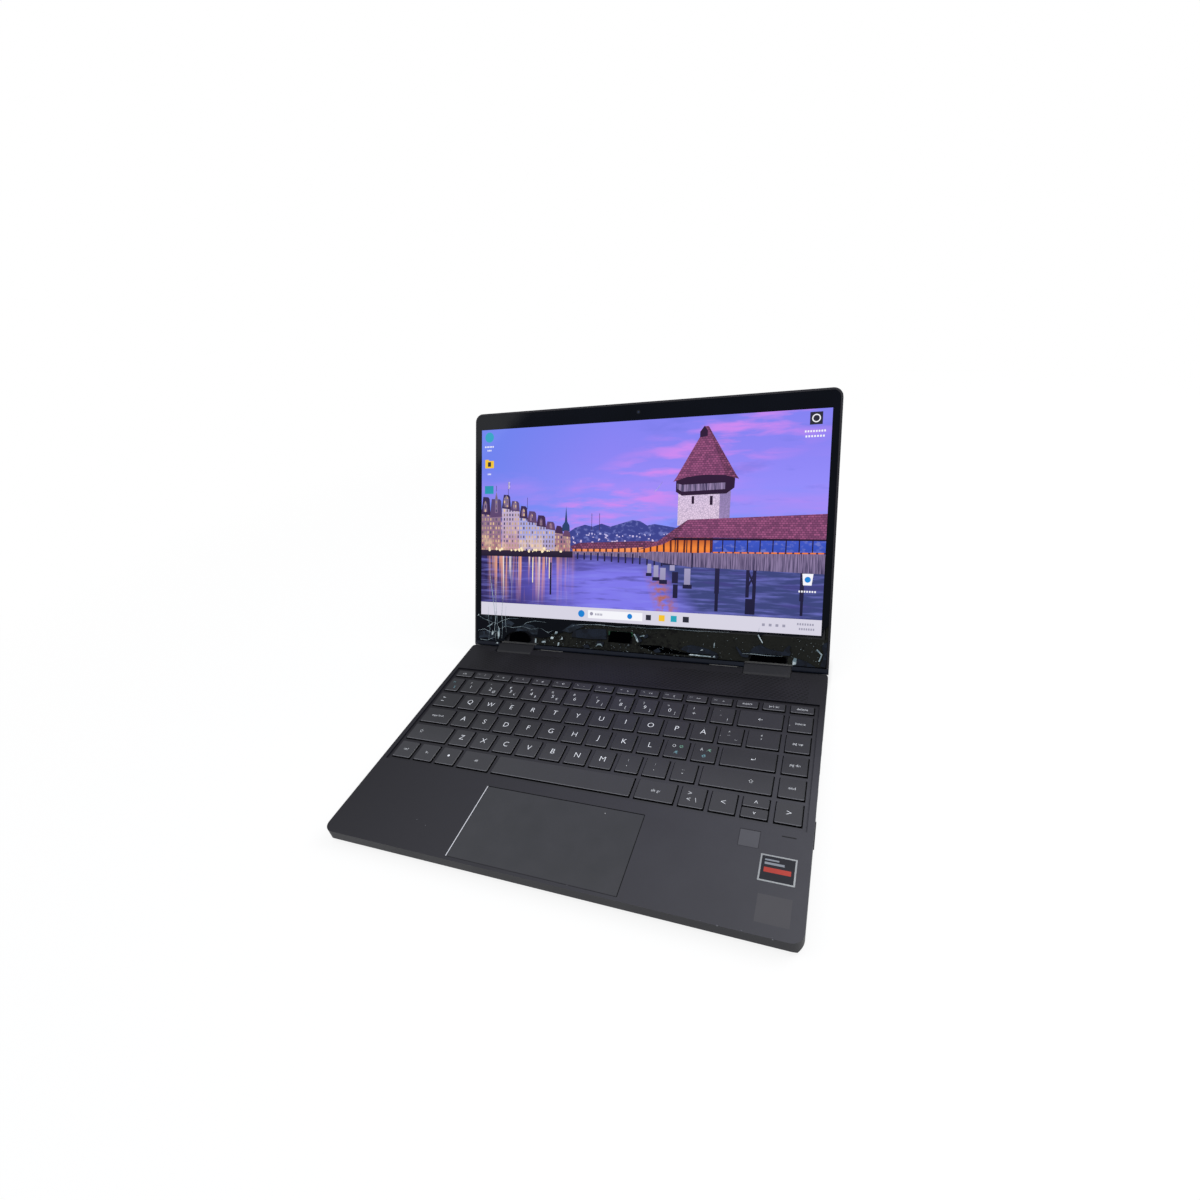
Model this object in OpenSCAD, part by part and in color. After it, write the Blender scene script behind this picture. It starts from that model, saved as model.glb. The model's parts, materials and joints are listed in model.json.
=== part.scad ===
// Folding laptop, standing open, with the lower part of its cover glass broken.
// Origin: middle of the rear foot's sole. +X is to the right of a person in
// front of it, +Y to the back, +Z up. Lengths are in millimetres.

/* [Body] */
// Width of the base and of the lid
body_w = 306.8; // [300:0.2:380]
// Lower hinge shaft to the front edge, and upper shaft to the lid's top edge
hinge_to_front = 206.4; // [200:0.2:260]
// Thickness of the base without its feet
base_t = 9.8; // [9.8:0.1:14]
// Thickness of the lid
lid_t = 4.5; // [4.5:0.1:6]
// Radius of the corners seen from above
corner_r = 7; // [4:0.5:10]
// Sheet thickness of the base's two shells
shell_t = 1.1; // [0.9:0.1:1.2]
// Height of the side's sloped lower part
side_slope_h = 3.2; // [2:0.1:4]
// How far the side slopes in
side_slope_in = 4; // [2:0.1:5]
// Height of the front's sloped lower part
front_slope_h = 2.4; // [1.5:0.1:3]
// How far the front slopes in
front_slope_in = 1.8; // [1:0.1:2.2]

/* [Hinge] */
// Angle between the deck and the screen as it stands
open_angle = 119.3; // [60:0.1:150]
// Gap between the deck and the glass when shut
shut_gap = 0.5; // [0.4:0.1:1]
// Width of one hinge knuckle
knuckle_w = 35; // [30:0.5:45]
// Side of the body to the knuckle's outer face
knuckle_from_side = 26.4; // [24:0.2:40]
// Gap between a knuckle and the shells beside it
knuckle_gap = 0.3; // [0.2:0.05:0.5]
// Radius of both shafts
shaft_r = 1.5; // [1.3:0.05:1.6]
// Radial clearance of a shaft in its bore
running_fit = 0.05; // [0.02:0.01:0.1]
// Teeth on each of the hinge's four gears
gear_teeth = 10; // [10:2:12]

/* [Keyboard] */
// Key pitch across
key_pitch = 19.05; // [15.8:0.05:19.1]
// Key pitch front to back
row_pitch = 18.9; // [15.7:0.05:19]
// Gap between two keys
key_gap = 3.05; // [2.5:0.05:3.5]
// Depth of a function key
function_key_d = 7.4; // [6:0.1:9]
// Lower shaft to the rear edge of the function keys
keys_from_shaft = 34.7; // [34:0.1:40]
// Gap between the keys and the side column of keys
column_gap = 3.5; // [3:0.1:5]
// Width of the keys in the side column
column_key_w = 15.8; // [12:0.1:17]
// Margin of the sunken tray around the keys
tray_margin = 3.1; // [2.5:0.1:4]
// Depth of the sunken tray
tray_depth = 1.2; // [0.8:0.1:1.4]
// Thickness of the web between the keys
web_t = 0.8; // [0.6:0.1:1]
// Height of a key cap
cap_h = 2; // [1.8:0.1:2.2]
// How far a key top stands above the deck
cap_proud = 0.05; // [0:0.05:0.2]
// Gap between a key and the web around it
cap_gap = 0.35; // [0.25:0.05:0.5]
// Travel of a key
key_travel = 1.2; // [1:0.1:1.2]
// Width of the narrow key at the left of the number row
first_key_w = 12.1; // [10:0.1:14]
// Width of the backspace key
backspace_w = 30.05; // [24:0.05:34]
// Width of the tab key
tab_w = 21; // [18:0.1:24]
// Width of the capitals lock key
caps_w = 25.8; // [22:0.1:28]
// Width of the left shift key
left_shift_w = 35.4; // [30:0.1:38]
// Width of the keys on both sides of the space bar
alt_w = 25.6; // [20:0.1:28]

/* [Palm rest] */
// Width of the touchpad
pad_w = 111; // [90:0.5:134]
// Depth of the touchpad
pad_d = 55.3; // [46:0.1:58]
// Touchpad to the front edge
pad_from_front = 2.6; // [2.4:0.1:4]
// Gap around the touchpad
pad_gap = 0.25; // [0.2:0.05:0.4]
// Side of the fingerprint sensor
finger_w = 11.3; // [9:0.1:14]
// Fingerprint sensor's middle to the body's side
finger_from_side = 34.4; // [28:0.1:40]
// Width of the palm rest label
label_w = 19.5; // [15:0.1:22]
// Depth of the palm rest label
label_d = 16.8; // [12:0.1:20]

/* [Lid] */
// Width of the lit picture
picture_w = 293.8; // [280:0.1:294]
// Height of the lit picture
picture_h = 165.2; // [150:0.1:166]
// Upper shaft to the lower edge of the picture
picture_from_shaft = 27; // [26:0.1:32]
// Thickness of the lid's metal back
back_t = 1; // [0.8:0.1:1]
// Width of the metal rim around the glass
rim_t = 1.5; // [1.2:0.1:2]
// Thickness of the cover glass
glass_t = 0.9; // [0.7:0.1:1]
// Upper shaft to the top of the bottom trim
trim_top = 2.4; // [2:0.1:2.6]

/* [Feet] */
// Height of the feet below the bottom cover
foot_h = 1.1; // [0.8:0.1:1.1]
// Length of each foot
foot_l = 220; // [160:1:240]
// Width of each foot
foot_w = 6; // [5:0.5:8]
// Lower shaft to the middle of the rear foot
rear_foot_from_shaft = 16; // [14:0.5:22]
// Front edge to the middle of the front foot
front_foot_from_front = 17; // [15:0.5:24]

/* [Fan] */
// Radius of the fan rotor
fan_r = 22; // [18:0.5:22]
// Blades on the fan rotor
fan_blades = 24; // [16:1:30]
// Middle of the fan to the left of the body's middle
fan_x = 45; // [42:0.5:50]

/* [Hidden] */
$fn = 48;
e = 0.01;                               // overshoot of a cut past a face
round_gap = 0.05;                       // gap between a round pin and a plain hole
foot_sink = 0.4;                        // how deep a foot sits in its recess
back_gap = foot_h + 0.2;                // gap to the lid's back when folded right round
lid_half = lid_t/2;
shaft_below_deck = (base_t + back_gap - shut_gap)/2;
shaft_gap = (base_t + lid_t + shut_gap + back_gap)/2;   // distance between the two shafts
knuckle_r = base_t - shaft_below_deck;
trim_gap = 0.4;                         // gap between the lid's bottom trim and the base's round back

// heights
bottom_z = foot_h;
deck_z = bottom_z + base_t;
seam_z = bottom_z + side_slope_h;
floor_z = bottom_z + shell_t;
shaft_z = deck_z - shaft_below_deck;
web_top_z = deck_z - tray_depth;
web_z = web_top_z - web_t;
cap_top_z = deck_z + cap_proud;
cap_z = cap_top_z - cap_h;
sheet_z = cap_z - key_travel - 0.25;    // top of the dome sheet
sheet_t = 0.2;
plate_t = 0.4;
plate_z = sheet_z - sheet_t - plate_t;  // underside of the keyboard plate
board_lift = 1;
board_t = 0.8;
board_z = floor_z + board_lift;
board_top_z = board_z + board_t;
inner_top_z = plate_z - 0.3;            // top of what lies under the keyboard plate

// depths, from the lower shaft towards the front
shaft_y = rear_foot_from_shaft;
front_y = shaft_y - hinge_to_front;
rear_r = shaft_gap - lid_half - trim_gap;
rear_y = shaft_y + rear_r;
side_x = body_w/2;
function from_shaft(d) = shaft_y - d;
function from_front(d) = front_y + d;

// hinge places
knuckle_out = side_x - knuckle_from_side;
knuckle_in = knuckle_out - knuckle_w;
half_turn = open_angle/2;
upper_y = shaft_y + shaft_gap*sin(half_turn);
upper_z = shaft_z + shaft_gap*cos(half_turn);
link_main_w = knuckle_w - 8.4;          // the rest is the cap that shuts the gear pocket
pocket_w = 6.6;
gear_w = 6;
gear_pitch_r = shaft_gap/6;
gear_tip = 0.2;
gear_root = 0.27;
ear_t = 3.8;
ear_r = 2.8;
ear_from_knuckle = 1.7;
notch_front = knuckle_r + 0.4;

// keyboard places
key_w = key_pitch - key_gap;
key_d = row_pitch - key_gap;
block_w = first_key_w + key_gap + 12*key_pitch + backspace_w;
keyboard_w = block_w + column_gap + column_key_w;
block_x = -keyboard_w/2;
column_x = block_x + block_w + column_gap;
rows_d = function_key_d + 5*row_pitch;
tray_w = keyboard_w + 2*tray_margin;
tray_d = rows_d + 2*tray_margin;
tray_mid_y = from_shaft(keys_from_shaft + rows_d/2);
tray_rim = 1.2;
cap_wall = 1;
cap_roof = 0.9;
cap_r = 0.8;

// lid places
picture_mid = picture_from_shaft + picture_h/2;
panel_border = 2.8;
panel_bottom = picture_from_shaft - panel_border;
panel_w = picture_w + 5;
panel_h = picture_h + 2*panel_border;
panel_t = 2.3;
glass_back = glass_t - lid_half;        // the glass's rear face, towards the lid's back
back_in = lid_half - back_t;            // the inner face of the lid's metal back
glass_edge = 2.6;
glass_gap = 0.15;
glass_w = body_w - 2*(rim_t + glass_gap);
tape_t = 0.25;
notch_top = 3.4;

// ---- shared shapes ----

module rounded(w, d, r) {
    square([w - 2*r, d], center = true);
    square([w, d - 2*r], center = true);
    for (sx = [-1, 1], sy = [-1, 1])
        translate([sx*(w/2 - r), sy*(d/2 - r)])
            circle(r);
}

module block(x0, x1, y0, y1, z0, z1) {
    translate([x0, y0, z0])
        cube([x1 - x0, y1 - y0, z1 - z0]);
}

// a block given by its distances from the lower shaft towards the front
module deck_block(x0, x1, d0, d1, z0, z1) {
    block(x0, x1, from_shaft(d1), from_shaft(d0), z0, z1);
}

module both_sides() {
    children();
    mirror([1, 0, 0])
        children();
}

// a round bar along X
module bar_x(x0, x1, r) {
    translate([x0, 0, 0])
        rotate([0, 90, 0])
            cylinder(h = x1 - x0, r = r);
}

// a plane shape in Y and Z, made solid from x0 to x1
module along_x(x0, x1) {
    translate([x0, 0, 0])
        rotate([90, 0, 90])
            linear_extrude(x1 - x0)
                children();
}

// the lower shaft's frame, the link's and the lid's: Z runs from the lower shaft to the
// upper one in the link, and from the upper shaft to the top edge in the lid, whose -Y
// is towards the person in front
module at_shaft() {
    translate([0, shaft_y, shaft_z])
        children();
}

module at_link() {
    at_shaft()
        rotate([-half_turn, 0, 0])
            children();
}

module at_lid() {
    translate([0, upper_y, upper_z])
        rotate([90 - open_angle, 0, 0])
            children();
}

// a plane shape in X and the lid's height, made solid from depth y0 to y1
module lid_sheet(y0, y1) {
    translate([0, y1, 0])
        rotate([90, 0, 0])
            linear_extrude(y1 - y0)
                children();
}

// ---- base shells ----

module side_profile(i) {
    polygon([
        [front_y + i, deck_z - i],
        [front_y + i, bottom_z + front_slope_h],
        [front_y + i + front_slope_in, bottom_z + i],
        [shaft_y, bottom_z + i],
        [shaft_y, deck_z - i]
    ]);
    intersection() {
        translate([shaft_y, shaft_z])
            circle(rear_r - i);
        translate([shaft_y - 1, bottom_z + i])
            square([rear_r + 1, base_t - 2*i]);
    }
}

module end_profile(i) {
    x = side_x - i;
    polygon([
        [-x, deck_z], [-x, seam_z], [-x + side_slope_in, bottom_z],
        [x - side_slope_in, bottom_z], [x, seam_z], [x, deck_z]
    ]);
}

// the base's outer form, drawn in by i on all sides
module base_form(i) {
    depth = rear_y - front_y;
    intersection() {
        translate([0, front_y + depth/2, bottom_z])
            linear_extrude(base_t)
                rounded(body_w - 2*i, depth - 2*i, corner_r - i);
        along_x(-side_x, side_x)
            side_profile(i);
        translate([0, rear_y, 0])
            rotate([90, 0, 0])
                linear_extrude(depth)
                    end_profile(i);
    }
}

module notch(grow) {
    both_sides()
        block(knuckle_in - knuckle_gap - grow, knuckle_out + knuckle_gap + grow,
              from_shaft(notch_front + grow), rear_y + 1, 0, deck_z + 1);
}

// holes for the lower shafts, in the walls beside the knuckles
module shaft_holes() {
    at_shaft()
        both_sides()
            bar_x(knuckle_in - knuckle_gap - shell_t - 1, knuckle_in, shaft_r + 0.3);
}

module base_cavity() {
    difference() {
        base_form(shell_t);
        notch(shell_t);
    }
}

module tray_plan(rim) {
    translate([0, tray_mid_y])
        square([tray_w + 2*rim, tray_d + 2*rim], center = true);
}

module touchpad_plan(gap) {
    translate([0, from_front(pad_from_front + pad_d/2)])
        square([pad_w + 2*gap, pad_d + 2*gap], center = true);
}

// screws that hold the bottom cover: across from the middle, and depth
screw_r = 0.95;
screw_head_r = 2.1;
screw_head_h = 0.9;
boss_r = 2.5;
boss_seat_z = floor_z + 0.9;
screw_places = [
    [side_x - 10.4, from_shaft(5)],
    [side_x - 10.4, from_front(56.4)],
    [side_x - 10.4, from_front(10.4)],
    [pad_w/2 + 14.5, from_front(4.9)]
];

module at_screws() {
    for (p = screw_places, s = [-1, 1])
        translate([s*p[0], p[1], 0])
            children();
}

// hinge brackets are screwed up into pads under the deck
bracket_l = 25;
bracket_d = 22;
bracket_t = 1;
bracket_from_shaft = 7;
bracket_x1 = knuckle_in - ear_from_knuckle;
bracket_x0 = bracket_x1 - bracket_l;
hinge_screw_r = 0.8;
hinge_screw_head_r = 1.6;
hinge_screw_head_h = 0.6;
hinge_screw_grip = 0.6;

module at_lower_hinge_screws() {
    both_sides()
        for (x = [bracket_x0 + 4, bracket_x1 - 8], d = [11, 20])
            translate([x, from_shaft(d), 0])
                children();
}

// slots at the back for the fan's air
fan_y = from_shaft(40);
fin_w = 44;
exhaust_slots = 10;

module exhaust_cuts() {
    pitch = fin_w/exhaust_slots;
    for (i = [0:exhaust_slots - 1])
        block(-fan_x - fin_w/2 + i*pitch + 0.8, -fan_x - fin_w/2 + (i + 1)*pitch - 0.8,
              shaft_y + 2.5, rear_y + 1, shaft_z - 3, shaft_z + 2);
}

module top_case() {
    color("#3b3a3f")
    difference() {
        union() {
            difference() {
                intersection() {
                    base_form(0);
                    block(-side_x, side_x, front_y, rear_y, seam_z, deck_z);
                }
                base_cavity();
            }
            translate([0, 0, web_z])
                linear_extrude(deck_z - web_z)
                    tray_plan(tray_rim);
            translate([0, 0, plate_z + plate_t])
                linear_extrude(web_z - plate_z - plate_t + e)
                    difference() {
                        tray_plan(tray_rim);
                        tray_plan(0);
                    }
            at_screws()
                translate([0, 0, boss_seat_z])
                    cylinder(h = deck_z - shell_t/2 - boss_seat_z, r = boss_r);
            touchpad_pads();
        }
        translate([0, 0, web_top_z])
            linear_extrude(tray_depth + 1)
                tray_plan(0);
        for (k = all_keys)
            block(k[0] - cap_gap, k[0] + k[2] + cap_gap, k[1] - k[3] - cap_gap, k[1] + cap_gap,
                  web_z - 1, web_top_z + 1);
        translate([0, 0, deck_z - shell_t - 1])
            linear_extrude(shell_t + 2)
                touchpad_plan(pad_gap);
        finger_block(pad_gap, deck_z - shell_t - 1, deck_z + 1);
        notch(0);
        shaft_holes();
        side_cuts();
        exhaust_cuts();
        at_screws()
            translate([0, 0, boss_seat_z - 1])
                cylinder(h = 5, r = screw_r + round_gap);
        at_lower_hinge_screws()
            translate([0, 0, deck_z - shell_t - 1])
                cylinder(h = 1 + hinge_screw_grip + 0.1, r = hinge_screw_r + round_gap);
    }
}

module bottom_cover() {
    color("#2c2b30")
    difference() {
        union() {
            difference() {
                intersection() {
                    base_form(0);
                    block(-side_x, side_x, front_y, rear_y, bottom_z, seam_z);
                }
                base_cavity();
            }
            at_screws()
                translate([0, 0, bottom_z])
                    cylinder(h = boss_seat_z - bottom_z, r = screw_head_r + 1.1);
            board_standoffs();
        }
        notch(0);
        shaft_holes();
        side_cuts();
        exhaust_cuts();
        at_screws() {
            translate([0, 0, bottom_z - 1])
                cylinder(h = 1 + screw_head_h + 0.1, r = screw_head_r + 0.2);
            cylinder(h = boss_seat_z + 1, r = screw_r + 0.15);
        }
        intake_cuts();
        at_feet()
            translate([0, 0, bottom_z - 1])
                linear_extrude(1 + foot_sink)
                    rounded(foot_l, foot_w, foot_w/2 - 0.1);
    }
}

// rows of slots under the fan
intake_slot_w = 1.8;
intake_slot_l = 10;
intake_pitch = 3.6;
intake_columns = 10;

module intake_cuts() {
    for (i = [0:intake_columns - 1], j = [-1, 1])
        translate([-fan_x + (i - (intake_columns - 1)/2)*intake_pitch, fan_y + j*8, bottom_z - 1])
            linear_extrude(shell_t + 2)
                rounded(intake_slot_w, intake_slot_l, intake_slot_w/2 - 0.1);
}

module at_feet() {
    for (y = [from_shaft(rear_foot_from_shaft), from_front(front_foot_from_front)])
        translate([0, y, 0])
            children();
}

module foot() {
    linear_extrude(foot_h + foot_sink)
        rounded(foot_l - 0.1, foot_w - 0.1, foot_w/2 - 0.2);
}

module front_foot() {
    color("#1b1b1d")
        translate([0, from_front(front_foot_from_front), 0])
            foot();
}

module rear_foot() {
    color("#1b1b1d")
        translate([0, from_shaft(rear_foot_from_shaft), 0])
            foot();
}

// ---- keyboard ----

function row_x(widths, i) = i == 0 ? block_x : row_x(widths, i - 1) + widths[i - 1] + key_gap;
function total(v, n) = n == 0 ? 0 : v[n - 1] + total(v, n - 1);
// the last width fills the row to the block's right edge
function filled(widths) =
    concat(widths, block_w - total(widths, len(widths)) - len(widths)*key_gap);
function row_y(i) = i == 0 ? from_shaft(keys_from_shaft)
    : from_shaft(keys_from_shaft + function_key_d + key_gap + (i - 1)*row_pitch);
// a key is [left edge, rear edge, width, depth]
function row_keys(widths, i, d) =
    [for (n = [0:len(widths) - 1]) [row_x(widths, n), row_y(i), widths[n], d]];
function plain(n) = [for (i = [1:n]) key_w];
function first(v, n) = [for (i = [0:n - 1]) v[i]];

function_count = 15;
function_w = (block_w - (function_count - 1)*key_gap)/function_count;
function_row = row_keys([for (i = [1:function_count]) function_w], 0, function_key_d);
number_row = row_keys(filled(concat([first_key_w], plain(12))), 1, key_d);
upper_row = row_keys(filled(concat([tab_w], plain(12))), 2, key_d);
home_row = row_keys(filled(concat([caps_w], plain(11))), 3, key_d);
lower_row = row_keys(filled(concat([left_shift_w], plain(10))), 4, key_d);
space_w = block_w - 6*key_w - 2*alt_w - 8*key_gap;
bottom_row = row_keys(concat(plain(3), [alt_w, space_w, alt_w], plain(3)), 5, key_d);

split_gap = 0.5;
half_key_d = (key_d - split_gap)/2;
up_down = bottom_row[8];

function_keys_at = concat(function_row, [[column_x, row_y(0), column_key_w, function_key_d]]);
home_letter_keys_at = first(home_row, 12);
enter_key_at = [home_row[12]];
modifier_keys_at = [for (i = [0, 1, 2, 3, 5, 6]) bottom_row[i]];
space_bar_at = [bottom_row[4]];
arrow_keys_at = [
    bottom_row[7],
    [up_down[0], up_down[1], key_w, half_key_d],
    [up_down[0], up_down[1] - half_key_d - split_gap, key_w, half_key_d],
    [column_x, row_y(5), column_key_w, key_d]
];
navigation_keys_at = [for (i = [1:4]) [column_x, row_y(i), column_key_w, key_d]];
all_keys = concat(function_keys_at, number_row, upper_row, home_letter_keys_at,
    enter_key_at, lower_row, modifier_keys_at, space_bar_at, arrow_keys_at,
    navigation_keys_at);

module key_cap(k) {
    translate([k[0] + k[2]/2, k[1] - k[3]/2, cap_z])
        difference() {
            linear_extrude(cap_h)
                rounded(k[2], k[3], cap_r);
            translate([0, 0, -1])
                linear_extrude(1 + cap_h - cap_roof)
                    square([k[2] - 2*cap_wall, k[3] - 2*cap_wall], center = true);
        }
}

module key_caps(keys) {
    color("#3d3d40")
        for (k = keys)
            key_cap(k);
}

module function_keys() { key_caps(function_keys_at); }
module number_keys() { key_caps(number_row); }
module upper_letter_keys() { key_caps(upper_row); }
module home_letter_keys() { key_caps(home_letter_keys_at); }
module enter_key() { key_caps(enter_key_at); }
module lower_letter_keys() { key_caps(lower_row); }
module modifier_keys() { key_caps(modifier_keys_at); }
module space_bar() { key_caps(space_bar_at); }
module arrow_keys() { key_caps(arrow_keys_at); }
module navigation_keys() { key_caps(navigation_keys_at); }

dome_r = 2.2;
dome_tip_r = 1.2;

module key_domes() {
    color("#d8d8d4")
    union() {
        translate([0, 0, sheet_z - sheet_t])
            linear_extrude(sheet_t)
                tray_plan(-0.1);
        for (k = all_keys)
            translate([k[0] + k[2]/2, k[1] - k[3]/2, sheet_z - e])
                cylinder(h = cap_top_z - cap_roof - sheet_z + e, r1 = dome_r, r2 = dome_tip_r);
    }
}

module keyboard_plate() {
    color("#8c8f92")
        translate([0, 0, plate_z])
            linear_extrude(plate_t)
                tray_plan(tray_rim);
}

// ---- palm rest ----

pad_top_z = deck_z - 0.1;
pad_glass_t = 0.9;
pad_board_t = 0.9;
pad_glass_z = pad_top_z - pad_glass_t;
pad_board_z = pad_glass_z - pad_board_t;
pad_rear_y = from_front(pad_from_front + pad_d);
bracket_top_z = pad_board_z - 0.1;
pad_bracket_t = 0.5;
pad_bracket_w = 90;
pad_bracket_under = 7;
pad_rest_d = 5;

module touchpad_glass() {
    color("#3a3b3e")
        translate([0, 0, pad_glass_z])
            linear_extrude(pad_glass_t)
                touchpad_plan(0);
}

module touchpad_board() {
    color("#1f5a3c")
        translate([0, 0, pad_board_z])
            linear_extrude(pad_board_t)
                touchpad_plan(-1);
}

// pads under the deck that carry the bracket
module touchpad_pads() {
    for (x = [-pad_bracket_w/2 + 8, 0, pad_bracket_w/2 - 8])
        block(x - 5, x + 5, pad_rear_y + 0.5, pad_rear_y + pad_rest_d, bracket_top_z,
              deck_z - shell_t + e);
}

module touchpad_bracket() {
    color("#9a9da0")
        block(-pad_bracket_w/2, pad_bracket_w/2, pad_rear_y - pad_bracket_under,
              pad_rear_y + pad_rest_d, bracket_top_z - pad_bracket_t, bracket_top_z);
}

finger_mid_y = pad_rear_y - 2.2;
finger_flange = 1;
finger_sink = 0.15;

module finger_block(grow, z0, z1) {
    x = side_x - finger_from_side;
    block(x - finger_w/2 - grow, x + finger_w/2 + grow,
          finger_mid_y - finger_w/2 - grow, finger_mid_y + finger_w/2 + grow, z0, z1);
}

module fingerprint_sensor() {
    color("#45454a")
    union() {
        finger_block(0, deck_z - shell_t - e, deck_z - finger_sink);
        finger_block(finger_flange, deck_z - shell_t - 0.8, deck_z - shell_t);
    }
}

label_t = 0.1;

module palm_rest_label() {
    color("#c9c9cc")
        translate([side_x - 16.8, finger_mid_y - 16.8, deck_z])
            linear_extrude(label_t)
                square([label_w, label_d], center = true);
}

// ---- inside the base ----

board_x0 = -10;
board_x1 = side_x - 21.4;
board_d0 = 12;
board_d1 = 112;
chip_x = 24;
chip_d = 32;
chip_w = 20;
chip_h = 1.3;
pipe_t = 1.2;
fin_h = 3.1;
pipe_z = max(floor_z + fin_h, board_top_z + chip_h);

// places of the board's screws and of the standoffs under it
standoff_places = [
    [board_x0 + 5, from_shaft(board_d0 + 5)],
    [board_x0 + 5, from_shaft(board_d1 - 5)],
    [board_x1 - 5, from_shaft(board_d0 + 5)],
    [board_x1 - 5, from_shaft(board_d1 - 5)]
];

module board_standoffs() {
    for (p = standoff_places)
        translate([p[0], p[1], floor_z - e])
            cylinder(h = board_lift + e, r = 2.5);
    for (d = [left_board_d0 + 5, left_board_d1 - 5])
        translate([-board_x1 + 5, from_shaft(d), floor_z - e])
            cylinder(h = board_lift + e, r = 2.5);
}

module mainboard() {
    color("#1d5c3a")
    union() {
        deck_block(board_x0, board_x1, board_d0, board_d1, board_z, board_top_z);
        // processor
        deck_block(chip_x - chip_w/2, chip_x + chip_w/2, chip_d - chip_w/2, chip_d + chip_w/2,
                   board_top_z - e, pipe_z);
        // memory chips
        for (i = [0:3])
            deck_block(chip_x + 18 + i*14, chip_x + 28 + i*14, 22, 34,
                       board_top_z - e, board_top_z + 1);
        // sockets of the two cards
        deck_block(ssd_x0 - 6, ssd_x0 + 3, ssd_d, ssd_d + 22, board_top_z - e, card_z);
        deck_block(wifi_x, wifi_x + 22, wifi_d - 6, wifi_d + 3, board_top_z - e, card_z);
        // posts under the cards' free ends
        translate([ssd_x0 + 76, from_shaft(ssd_d + 11), board_top_z - e])
            cylinder(h = card_z - board_top_z + e, r = 2);
        translate([wifi_x + 11, from_shaft(wifi_d + 27), board_top_z - e])
            cylinder(h = card_z - board_top_z + e, r = 2);
    }
}

card_z = board_top_z + 1;
card_t = 0.8;
card_chip_h = 0.7;
ssd_x0 = 38;
ssd_d = 52;
wifi_x = 2;
wifi_d = 72;

module ssd_module() {
    color("#205d3c")
    union() {
        deck_block(ssd_x0, ssd_x0 + 80, ssd_d, ssd_d + 22, card_z, card_z + card_t);
        for (x = [8, 34, 56])
            deck_block(ssd_x0 + x, ssd_x0 + x + 16, ssd_d + 3, ssd_d + 19,
                       card_z + card_t - e, card_z + card_t + card_chip_h);
    }
}

module wireless_card() {
    color("#205d3c")
    union() {
        deck_block(wifi_x, wifi_x + 22, wifi_d, wifi_d + 30, card_z, card_z + card_t);
        deck_block(wifi_x + 4, wifi_x + 18, wifi_d + 7, wifi_d + 23,
                   card_z + card_t - e, card_z + card_t + card_chip_h);
    }
}

left_board_d0 = 58;
left_board_d1 = 122;

module left_io_board() {
    color("#1d5c3a")
        deck_block(-board_x1, -board_x1 + 24, left_board_d0, left_board_d1,
                   board_z, board_top_z);
}

fin_t = 0.4;
fin_count = 20;
fin_d0 = 0;
fin_d1 = 10;

module heat_fins() {
    x0 = -fan_x - fin_w/2;
    step = (fin_w - fin_t)/(fin_count - 1);
    color("#b3b6b9")
    union() {
        for (i = [0:fin_count - 1])
            deck_block(x0 + i*step, x0 + i*step + fin_t, fin_d0, fin_d1, floor_z, pipe_z);
        deck_block(x0, x0 + fin_w, fin_d0, fin_d1, pipe_z - fin_t, pipe_z);
    }
}

pipe_w = 8;

module heat_pipe() {
    d = (fin_d0 + fin_d1)/2;
    color("#b5713e")
    union() {
        deck_block(-fan_x - fin_w/2, 0, d - pipe_w/2, d + pipe_w/2, pipe_z, pipe_z + pipe_t);
        translate([0, 0, pipe_z])
            linear_extrude(pipe_t)
                polygon([
                    [0, from_shaft(d - pipe_w/2)],
                    [chip_x + 6, from_shaft(chip_d - 8)],
                    [chip_x - 4, from_shaft(chip_d)],
                    [-2, from_shaft(d + pipe_w/2)],
                    [-2, from_shaft(d - pipe_w/2)]
                ]);
        deck_block(chip_x - 13, chip_x + 13, chip_d - 11, chip_d + 11,
                   pipe_z, pipe_z + pipe_t);
    }
}

fan_gap = 1.5;
fan_wall = 0.8;
fan_plate = 0.5;
fan_house_r = fan_r + fan_gap + fan_wall;
fan_house_z = inner_top_z;
hub_r = 9;
hub_floor = 0.8;
spindle_r = 1;
fan_run = 0.3;
fan_intake_r = 13;
fan_intake_hub_r = 5;
fan_spokes = 3;
fan_spoke_w = 2;
blade_t = 0.6;
blade_inset = 0.2;                      // how far a blade stops short of the hub's ends
blade_root = 0.5;                       // how far a blade runs into the hub

module fan_housing() {
    color("#26262a")
    difference() {
        union() {
            translate([-fan_x, fan_y, floor_z])
                cylinder(h = fan_house_z - floor_z, r = fan_house_r);
            block(-fan_x - fin_w/2 + fan_wall, -fan_x + fin_w/2 - fan_wall, fan_y,
                  from_shaft(fin_d1), floor_z, fan_house_z);
        }
        difference() {
            union() {
                translate([-fan_x, fan_y, floor_z + fan_plate])
                    cylinder(h = fan_house_z - floor_z - 2*fan_plate, r = fan_r + fan_gap);
                block(-fan_x - fin_w/2 + 2*fan_wall, -fan_x + fin_w/2 - 2*fan_wall, fan_y,
                      from_shaft(fin_d1) + 1, floor_z + fan_plate, fan_house_z - fan_plate);
            }
            translate([-fan_x, fan_y, fan_house_z - fan_plate - fan_spindle_l])
                cylinder(h = fan_spindle_l + e, r = spindle_r);
        }
        translate([-fan_x, fan_y, floor_z - 1])
            difference() {
                cylinder(h = fan_plate + 1.2, r = fan_intake_r);
                cylinder(h = fan_plate + 1.2, r = fan_intake_hub_r);
                for (i = [0:fan_spokes - 1])
                    rotate([0, 0, (i + 0.25)*360/fan_spokes])
                        translate([0, -fan_spoke_w/2, 0])
                            cube([fan_intake_r + 1, fan_spoke_w, fan_plate + 1.2]);
            }
    }
}

fan_rotor_h = fan_house_z - floor_z - 2*fan_plate - 2*fan_run;
fan_spindle_l = fan_run + fan_rotor_h - hub_floor - 0.1;

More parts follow.
